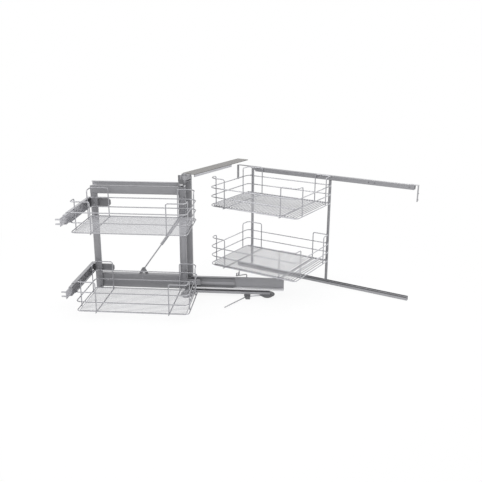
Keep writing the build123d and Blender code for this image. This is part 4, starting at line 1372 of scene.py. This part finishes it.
@dataclass(frozen=True)
class BentWires:
    """Single bent bars: the control rod, the catch lever and the catch of the rear baskets.

    Attributes:
        rod_line: Corners of the control rod along the frame and across it.
        rod_height: Height of its centre.
        rod_bend: Radius of its bend.
        radius: Radius of the rod and of the catch.
        catch_bend: Radius of the catch's bends.
        catch_tip: How far its tip stands up from its foot.
        lever_line: Corners of the lever along the frame, across it and up.
        lever_bend: Radius of its bend.
        lever_half: Half its width.
        lever_flat: Its thickness as a share of its width.
        lever_pin: Radius of the pin at its tip and of the boss under it.
        boss: Foot and top of that boss.
        boss_bends: Radii of the corners of both, from the foot up.
        sides: Number of points round a bar.
    """

    rod_line: tuple[Pair, ...] = (
        (-201 * MM, 152 * MM),
        (-292 * MM, 12 * MM),
        (-368.8 * MM, -12.8 * MM),
    )
    rod_height: float = 8 * MM
    rod_bend: float = 24 * MM
    radius: float = 2.5 * MM
    catch_bend: float = 4.5 * MM
    catch_tip: float = 12 * MM
    lever_line: tuple[Triple, ...] = (
        (-243 * MM, -13 * MM, 104.5 * MM),
        (-290 * MM, -37.5 * MM, 104.5 * MM),
        (-290 * MM, -37.5 * MM, 60 * MM),
    )
    lever_bend: float = 4 * MM
    lever_half: float = 4.5 * MM
    lever_flat: float = 0.34
    lever_pin: Pair = (2.5 * MM, 4.25 * MM)
    boss: Pair = (103 * MM, 106 * MM)
    boss_bends: tuple[float, ...] = (0.5 * MM, 0.5 * MM, 0.2 * MM, 0.6 * MM)
    sides: int = 20

    def lever(self) -> list[Shell]:
        """Flat bar that rises to its tip, with a round boss and an upright pin on it."""
        corners = np.array(self.lever_line)
        line = SWUNG.world(rounded_line(corners, self.lever_bend, steps=10))
        run = corners[1] - corners[0]
        side = SWUNG.world(np.array([-run[1], run[0], 0.0]))
        bar = tube(line, self.lever_half, side, self.sides, ease=0.3 * MM, flat=self.lever_flat)
        (pin, boss), (foot, shoulder) = self.lever_pin, self.boss
        top = SWUNG.span("catch_lever")[1][2]
        rim = [(boss, foot), (boss, shoulder), (pin, shoulder), (pin, top)]
        tip = SWUNG.world(corners[0] * (1.0, 1.0, 0.0))
        profile = solid(rim, np.array(self.boss_bends), steps=5)
        return [bar, lathe(profile, tip, UPWARD, sides=32)]

    def control_rod(self) -> Shell:
        """Round rod with one bend, lying level."""
        flat = rounded_line(np.array(self.rod_line), self.rod_bend, steps=12)
        line = SWUNG.world(np.insert(flat, 2, self.rod_height, axis=1))
        return tube(line, self.radius, UPWARD, self.sides)

    def catch(self) -> Shell:
        """Wire that hangs down, turns to the front and stands up at its tip."""
        low, high = CABINET.span("rear_basket_catch")
        root, tip = high[1] - self.radius, low[1] + self.radius
        foot = low[2] + self.radius
        stations = ((root, high[2]), (root, foot), (tip, foot), (tip, foot + self.catch_tip))
        corners = np.array([((low[0] + high[0]) / 2, y, z) for y, z in stations])
        line = rounded_line(corners, self.catch_bend, steps=8)
        return tube(line, self.radius, FIRST_AXIS, self.sides)

    def build(self, fitter: Fitter) -> None:
        """Makes the three bars."""
        fitter.stand_for("catch_lever", self.lever(), SWUNG, Axis.ALONG)
        fitter.stand_for("control_rod", [self.control_rod()], SWUNG, Axis.ALONG)
        fitter.stand_for("rear_basket_catch", [self.catch()], CABINET, Axis.UP)


@dataclass(frozen=True)
class BallCages:
    """Plastic retainers with their balls, in the gaps between the slide's members.

    Attributes:
        ball: Radius of a ball.
        pitch: Distance between two balls.
        strip: Thickness of the retainer.
        corner: Radius of the retainer's long edges.
        ease: Radius of the rounding at its ends.
    """

    ball: float = 1.85 * MM
    pitch: float = 9.0 * MM
    strip: float = 1.2 * MM
    corner: float = 0.3 * MM
    ease: float = 0.4 * MM

    def build(self, fitter: Fitter) -> None:
        """Makes the four strips and their balls, each a half circle turned about its middle."""
        local = SWUNG.local("ball_cages")
        middle = (local[:, 2].min() + local[:, 2].max()) / 2
        away = np.abs(local[:, 2] - middle)
        outer_gap = away > (away.min() + away.max()) / 2
        strips, places = [], []
        for outer in (True, False):
            for above in (True, False):
                side = local[(outer_gap == outer) & ((local[:, 2] > middle) == above)]
                low, high = side.min(0), side.max(0)
                z = (low[2] + high[2]) / 2
                bottom, top = (low[1], z - self.strip / 2), (high[1], z + self.strip / 2)
                ends = (low[0], high[0])
                strips.append(
                    rounded_bar(SWUNG, Axis.ALONG, ends, bottom, top, self.corner, self.ease)
                )
                count = int((high[0] - low[0]) / self.pitch)
                along = low[0] + self.pitch * (np.arange(count) + 0.5)
                across = np.full(count, (low[1] + high[1]) / 2)
                places.append(np.stack([along, across, np.full(count, z)], axis=1))
        fitter.stand_for("ball_cages", strips, SWUNG, Axis.ALONG)
        q = np.linspace(-math.pi / 2, math.pi / 2, 9)
        profile = self.ball * np.stack([np.cos(q), np.sin(q)], axis=1)
        profile[[0, -1], 0] = 0.0
        centres = SWUNG.world(np.concatenate(places))
        balls = scattered(profile, UPWARD, sides=14, places=centres)
        fitter.add("slide_balls", "ball_cages", balls, "zinc_steel", SWUNG, Axis.ALONG)


@dataclass(frozen=True)
class SolidBars:
    """Posts, runners, glides and the end stop: solid bars with rounded edges.

    Attributes:
        top_glide: Length of a glide on the top runner.
        bottom_glide: Length of a glide under the bottom runner.
        glide_corner: Radius of a glide's corners, as a share of its height.
        glide_ease: Radius of the rounding at its ends.
        bars: Bench, node, axis and radii of the long edges and of the ends of each bar.
    """

    top_glide: float = 33 * MM
    bottom_glide: float = 23 * MM
    glide_corner: float = 0.3
    glide_ease: float = 0.8 * MM
    bars: tuple[tuple[Bench, str, Axis, float, float], ...] = (
        (CABINET, "rear_left_post", Axis.UP, 1.4 * MM, 0.5 * MM),
        (CABINET, "rear_right_post", Axis.UP, 1.4 * MM, 0.5 * MM),
        (CABINET, "rear_top_runner", Axis.ALONG, 1.2 * MM, 0.5 * MM),
        (CABINET, "rear_bottom_runner", Axis.ALONG, 1.2 * MM, 0.5 * MM),
        (SWUNG, "channel_end_stop", Axis.ALONG, 1.5 * MM, 1.2 * MM),
    )

    def build(self, fitter: Fitter) -> None:
        """Makes the bars, each over its node, and the pairs that stand for one node each."""
        for bench, node, axis, corner, ease in self.bars:
            shell = rounded_bar(bench, axis, *bench.section(node, axis), corner, ease)
            fitter.stand_for(node, [shell], bench, axis)
        for node, length in (("top_glides", self.top_glide), ("bottom_glides", self.bottom_glide)):
            (start, end), low, high = CABINET.section(node, Axis.ALONG)
            corner = self.glide_corner * (high[1] - low[1])
            shells = [
                rounded_bar(CABINET, Axis.ALONG, place, low, high, corner, self.glide_ease)
                for place in ((start, start + length), (end - length, end))
            ]
            fitter.stand_for(node, shells, CABINET, Axis.ALONG)


@dataclass(frozen=True)
class PaintedLightAndExtras:
    """Painted highlights on slide and channel, painted shade on the rear rail, painted light on the plate, a rib,
    screws.

    Attributes:
        wall: Thickness of the slide's and the channel's sheet.
        rail_wall: Thickness of the rear rails' sheet.
        strip: Thickness of the strips and the lining that paint light and shade.
        edge: Radius of such a strip's edges.
        off: Distance of a strip from its sheet.
        shelf_reach: How far the outer member's lower edge stands out to the front.
        shelf_drop: Height of its turned-down front.
        shelf_end: Distance of that edge from the member's end at the column.
        shelf_fold: Radius of its fold.
        rib: Lower and upper edge of the middle member's rib, and how proud it is.
        rib_ease: Radius of its edges.
        screw: Radius and length of the screws in the right-hand strap.
        screw_shares: Their heights, as shares of the strap's.
        shadow_line_shares: Lower and upper edge of the rail's painted shadow line, as shares of its height.
        plate_reach: Where the mounting plate's painted light strip ends.
        plate_drop: How far that edge stays below the plate's upper face.
        shade_lining_end: How far the painted shade lining stays from the rail's ends.
        shade_lining_fold: Radius of its folds.
        shade_lining_ease: How much its corners are broken.
    """

    wall: float = 2.0 * MM
    rail_wall: float = 1.5 * MM
    strip: float = 0.1 * MM
    edge: float = 0.04 * MM
    off: float = 0.03 * MM
    shelf_reach: float = 2.4 * MM
    shelf_drop: float = 7.2 * MM
    shelf_end: float = 7.0 * MM
    shelf_fold: float = 1.4 * MM
    rib: Triple = (50.0 * MM, 65.0 * MM, 1.0 * MM)
    rib_ease: float = 0.4 * MM
    screw: Pair = (2.2 * MM, 6.0 * MM)
    screw_shares: Pair = (0.12, 0.5)
    shadow_line_shares: Pair = (0.6, 0.92)
    plate_reach: float = 352 * MM
    plate_drop: float = 3.0 * MM
    shade_lining_end: float = 3.0 * MM
    shade_lining_fold: float = 1.0 * MM
    shade_lining_ease: float = 0.02 * MM

    def within(self, ends: Pair) -> Pair:
        """Ends of a sheet moved inwards by its thickness."""
        return ends[0] + self.wall, ends[1] - self.wall

    def painted_highlight_strip(self, fitter: Fitter, node: str, name: str) -> None:
        """Lays a thin white strip on the lower flange of a channel, a painted highlight for the lit flange."""
        ends, low, high = SWUNG.section(node, Axis.ALONG)
        seat = low[1] + self.wall + self.off
        start = (low[0] + self.wall + self.off, seat)
        end = (high[0] - self.off, seat + self.strip)
        span = self.within(ends)
        shell = rounded_bar(SWUNG, Axis.ALONG, span, start, end, self.edge, self.edge)
        fitter.add(name, node, shell, "white_plastic", SWUNG, Axis.ALONG)

    def shelf(self, fitter: Fitter) -> None:
        """Front edge of the outer member's lower flange, which stands out under the others. It is white, a painted
        highlight for the lit lip.
        """
        node = "slide_outer_member"
        ends, low, high = SWUNG.section(node, Axis.ALONG)
        middle = low[1] + self.wall / 2
        front = high[0] + self.shelf_reach
        foot = low[1] + self.wall - self.shelf_drop
        line = np.array([[high[0] + self.off, middle], [front, middle], [front, foot]])
        span = (ends[0], ends[1] - self.shelf_end)
        shell = folded_sheet(SWUNG, Axis.ALONG, span, line, self.wall, self.shelf_fold)
        fitter.add("slide_shelf", node, shell, "white_plastic", SWUNG, Axis.ALONG)

    def middle_rib(self, fitter: Fitter) -> None:
        """Raised band on the middle member's web."""
        node, ease = "slide_middle_member", self.rib_ease
        ends, low, _ = SWUNG.section(node, Axis.ALONG)
        bottom, top, proud = self.rib
        face = low[0] + self.wall + self.off
        start, end = (face, bottom), (face + proud, top)
        shell = rounded_bar(SWUNG, Axis.ALONG, self.within(ends), start, end, ease, ease)
        fitter.add("middle_rib", node, shell, "slide_steel", SWUNG, Axis.ALONG)

    def plate_edge(self, fitter: Fitter) -> None:
        """Pale strip on the outer face of the mounting plate's folded flange, painted light for that lit face."""
        node = "top_mounting_plate"
        low, high = CABINET.span(node)
        face = high[0] + self.off
        span = (low[1] + self.wall, self.plate_reach - self.off)
        start = (face, low[2] + self.off)
        end = (face + self.strip, high[2] - self.plate_drop)
        shell = rounded_bar(CABINET, Axis.ACROSS, span, start, end, self.edge, self.edge)
        fitter.add("plate_edge", node, shell, "frame_silver", CABINET, Axis.ACROSS)

    def strap_screws(self, fitter: Fitter) -> None:
        """Two round screw heads on the outside of the right-hand strap."""
        node = "rear_right_bracket"
        low, high = CABINET.span(node)
        heights = low[2] + (high[2] - low[2]) * np.array(self.screw_shares)
        places = [[high[0] + self.off, (low[1] + high[1]) / 2, height] for height in heights]
        shell = scattered(dome(*self.screw), FIRST_AXIS, sides=24, places=places)
        fitter.add("strap_screws", node, shell, "zinc_steel", CABINET, Axis.ALONG)

    def painted_shade_lining(self, fitter: Fitter) -> None:
        """Dark lining inside the rear bottom rail, painted shade where its open top shows the inside."""
        node = "rear_bottom_rail"
        ends, low, high = CABINET.section(node, Axis.ALONG)
        inner = self.rail_wall + self.off
        start = (low[0] + inner, low[1] + inner)
        end = (high[0] - inner, high[1] - self.rail_wall)
        line = section_line(start, end, self.strip / 2, Open.ABOVE)
        span = (ends[0] + self.shade_lining_end, ends[1] - self.shade_lining_end)
        fold, ease = self.shade_lining_fold, self.shade_lining_ease
        shell = folded_sheet(CABINET, Axis.ALONG, span, line, self.strip, fold, ease=ease)
        fitter.add("rail_trough", node, shell, "dark_plastic", CABINET, Axis.ALONG)

    def rail_line(self, fitter: Fitter) -> None:
        """Dark strip along the front of the rear bottom rail, just under its upper edge: painted shadow for the
        shaded inside of the rail's far wall.
        """
        node = "rear_bottom_rail"
        ends, low, high = CABINET.section(node, Axis.ALONG)
        foot, top = (low[1] + share * (high[1] - low[1]) for share in self.shadow_line_shares)
        face = low[0] - self.off
        start, end = (face - self.strip, foot), (face, top)
        span = self.within(ends)
        shell = rounded_bar(CABINET, Axis.ALONG, span, start, end, self.edge, self.edge)
        fitter.add("rail_line", node, shell, "dark_plastic", CABINET, Axis.ALONG)

    def build(self, fitter: Fitter) -> None:
        """Makes the painted highlight strips, the shelf, the rib, the painted shade, the painted light strip and
        the screws.
        """
        self.rail_line(fitter)
        self.painted_highlight_strip(fitter, "slide_outer_member", "outer_track")
        self.painted_highlight_strip(fitter, "frame_guide_channel", "guide_track")
        self.shelf(fitter)
        self.middle_rib(fitter)
        self.painted_shade_lining(fitter)
        self.plate_edge(fitter)
        self.strap_screws(fitter)


@dataclass(frozen=True)
class HeadPieces:
    """Small pieces on the head bracket: cheek, post, roller cap, buffer and column cap.

    Attributes:
        cheek: Ends of the dark cheek along the frame.
        post: Ends of the grey post beside it.
        rise: How far the two stand above the head bracket.
        roller_cap: Place of the roller's cap along the frame, its height, radius and thickness.
        buffer: Ends of the buffer along the frame.
        buffer_heights: Its lower and upper edge.
        buffer_thick: How far it stands out from the lip.
        column_cap: Length, depth and height of the block over the column.
        lip: Thickness of the head bracket's lip.
        gap: Distance from the piece that carries each.
        ease: Radius of the edges of the blocks.
    """

    cheek: Pair = (19.0 * MM, 26.0 * MM)
    post: Pair = (9.5 * MM, 18.8 * MM)
    rise: float = 30.0 * MM
    roller_cap: tuple[float, ...] = (12.5 * MM, 567 * MM, 9.5 * MM, 1.6 * MM)
    buffer: Pair = (4.0 * MM, 18.0 * MM)
    buffer_heights: Pair = (548.5 * MM, 556.0 * MM)
    buffer_thick: float = 2.5 * MM
    column_cap: Triple = (18.0 * MM, 20.0 * MM, 12.0 * MM)
    lip: float = 3.0 * MM
    gap: float = 0.05 * MM
    ease: float = 0.8 * MM

    def build(self, fitter: Fitter) -> None:
        """Makes the five pieces."""
        node = "head_bracket"
        low, high = SWUNG.span(node)
        front, back = high[1], high[1] - self.lip
        foot, crown = high[2] + self.gap, high[2] + self.rise

        def block(name: str, slot: str, axis: Axis, ends: Pair, near: Pair, far: Pair) -> None:
            """Adds a block along the frame with rounded edges."""
            shell = rounded_bar(SWUNG, Axis.ALONG, ends, near, far, self.ease, self.ease)
            fitter.add(name, node, shell, slot, SWUNG, axis)

        near, far = (back, foot), (front, crown)
        block("head_cheek", "dark_plastic", Axis.UP, self.cheek, near, far)
        block("head_post", "frame_silver", Axis.UP, self.post, near, far)
        along, height, radius, thick = self.roller_cap
        centre = SWUNG.world(np.array([along, front + self.gap, height]))
        profile = solid([(radius, 0.0), (radius, thick)], bends=0.5 * MM, steps=5)
        cap = lathe(profile, centre, SWUNG.axes()[1], sides=40)
        fitter.add("roller_cap", node, cap, "dark_plastic", SWUNG, Axis.ACROSS)
        near = (front + self.gap, self.buffer_heights[0])
        far = (front + self.buffer_thick, self.buffer_heights[1])
        block("head_buffer", "white_plastic", Axis.ALONG, self.buffer, near, far)
        long, deep, tall = self.column_cap
        near, far = (low[1], foot), (low[1] + deep, foot + tall)
        ends = (low[0], low[0] + long)
        block("column_cap", "dark_plastic", Axis.UP, ends, near, far)


# Node, bench, axis and how much its edges are broken, in millimetres.
EASED = (
    ("floor_pivot_base", CABINET, Axis.UP, 0.5),
    ("base_plate", SWUNG, Axis.ALONG, 0.5),
    ("carrier_rail", SWUNG, Axis.ALONG, 0.5),
    ("guide_block", SWUNG, Axis.UP, 0.8),
    ("head_bracket", SWUNG, Axis.ALONG, 0.6),
    ("top_mounting_plate", CABINET, Axis.ACROSS, 0.5),
    ("top_pivot_bracket", CABINET, Axis.ACROSS, 0.8),
    ("strut_lower_bracket", SWUNG, Axis.ALONG, 0.4),
    ("arm_brackets", SWUNG, Axis.ALONG, 0.6),
    ("upper_arm_inner", SWUNG, Axis.ACROSS, 0.35),
    ("lower_arm_inner", SWUNG, Axis.ACROSS, 0.35),
    ("upper_door_plate", SWUNG, Axis.ACROSS, 0.4),
    ("lower_door_plate", SWUNG, Axis.ACROSS, 0.4),
    ("front_basket_hooks", SWUNG, Axis.ACROSS, 0.4),
    ("rear_basket_clips", CABINET, Axis.ACROSS, 0.4),
    ("rear_top_rail", CABINET, Axis.ALONG, 0.4),
    ("rear_bottom_rail", CABINET, Axis.ALONG, 0.4),
    ("rear_left_bracket", CABINET, Axis.UP, 0.45),
    ("rear_right_bracket", CABINET, Axis.UP, 0.45),
)


def front_basket(name: str, height: float) -> WireBasket:
    """Basket on the swung frame, with its lowest rim at a height."""
    ends, sides = (-59.5 * MM, 442.5 * MM), (22.5 * MM, 311.5 * MM)
    return WireBasket(
        name, SWUNG, ends, sides, height, long_wires=20, cross_wires=2, floor_radius=1.25 * MM
    )


def rear_basket(name: str, height: float) -> WireBasket:
    """Basket on the rear frame, with its lowest rim at a height."""
    ends, sides = (39 * MM, 517.5 * MM), (139 * MM, 505 * MM)
    return WireBasket(
        name, CABINET, ends, sides, height, long_wires=2, cross_wires=33, floor_radius=2.2 * MM
    )


def main() -> None:
    """Builds the camera and the studio, then the model's pieces."""
    PhotoCamera().build()
    Studio().build()
    fitter = Fitter()
    for assembly in (
        front_basket("front_lower_basket", height=36 * MM),
        front_basket("front_upper_basket", height=397.5 * MM),
        rear_basket("rear_lower_basket", height=130 * MM),
        rear_basket("rear_upper_basket", height=427.5 * MM),
        SheetPieces(),
        TurnedPieces(),
        StrutPieces(),
        BentWires(),
        BallCages(),
        SolidBars(),
        PaintedLightAndExtras(),
        HeadPieces(),
    ):
        assembly.build(fitter)
    for node, bench, axis, width in EASED:
        fitter.ease(node, bench, axis, width * MM)
    left = sorted(set(FRAME["nodes"]) - set(fitter.fitted))
    log.info("%d nodes dressed, left as packed: %s", len(fitter.fitted), left or "none")


if __name__ == "__main__":
    main()
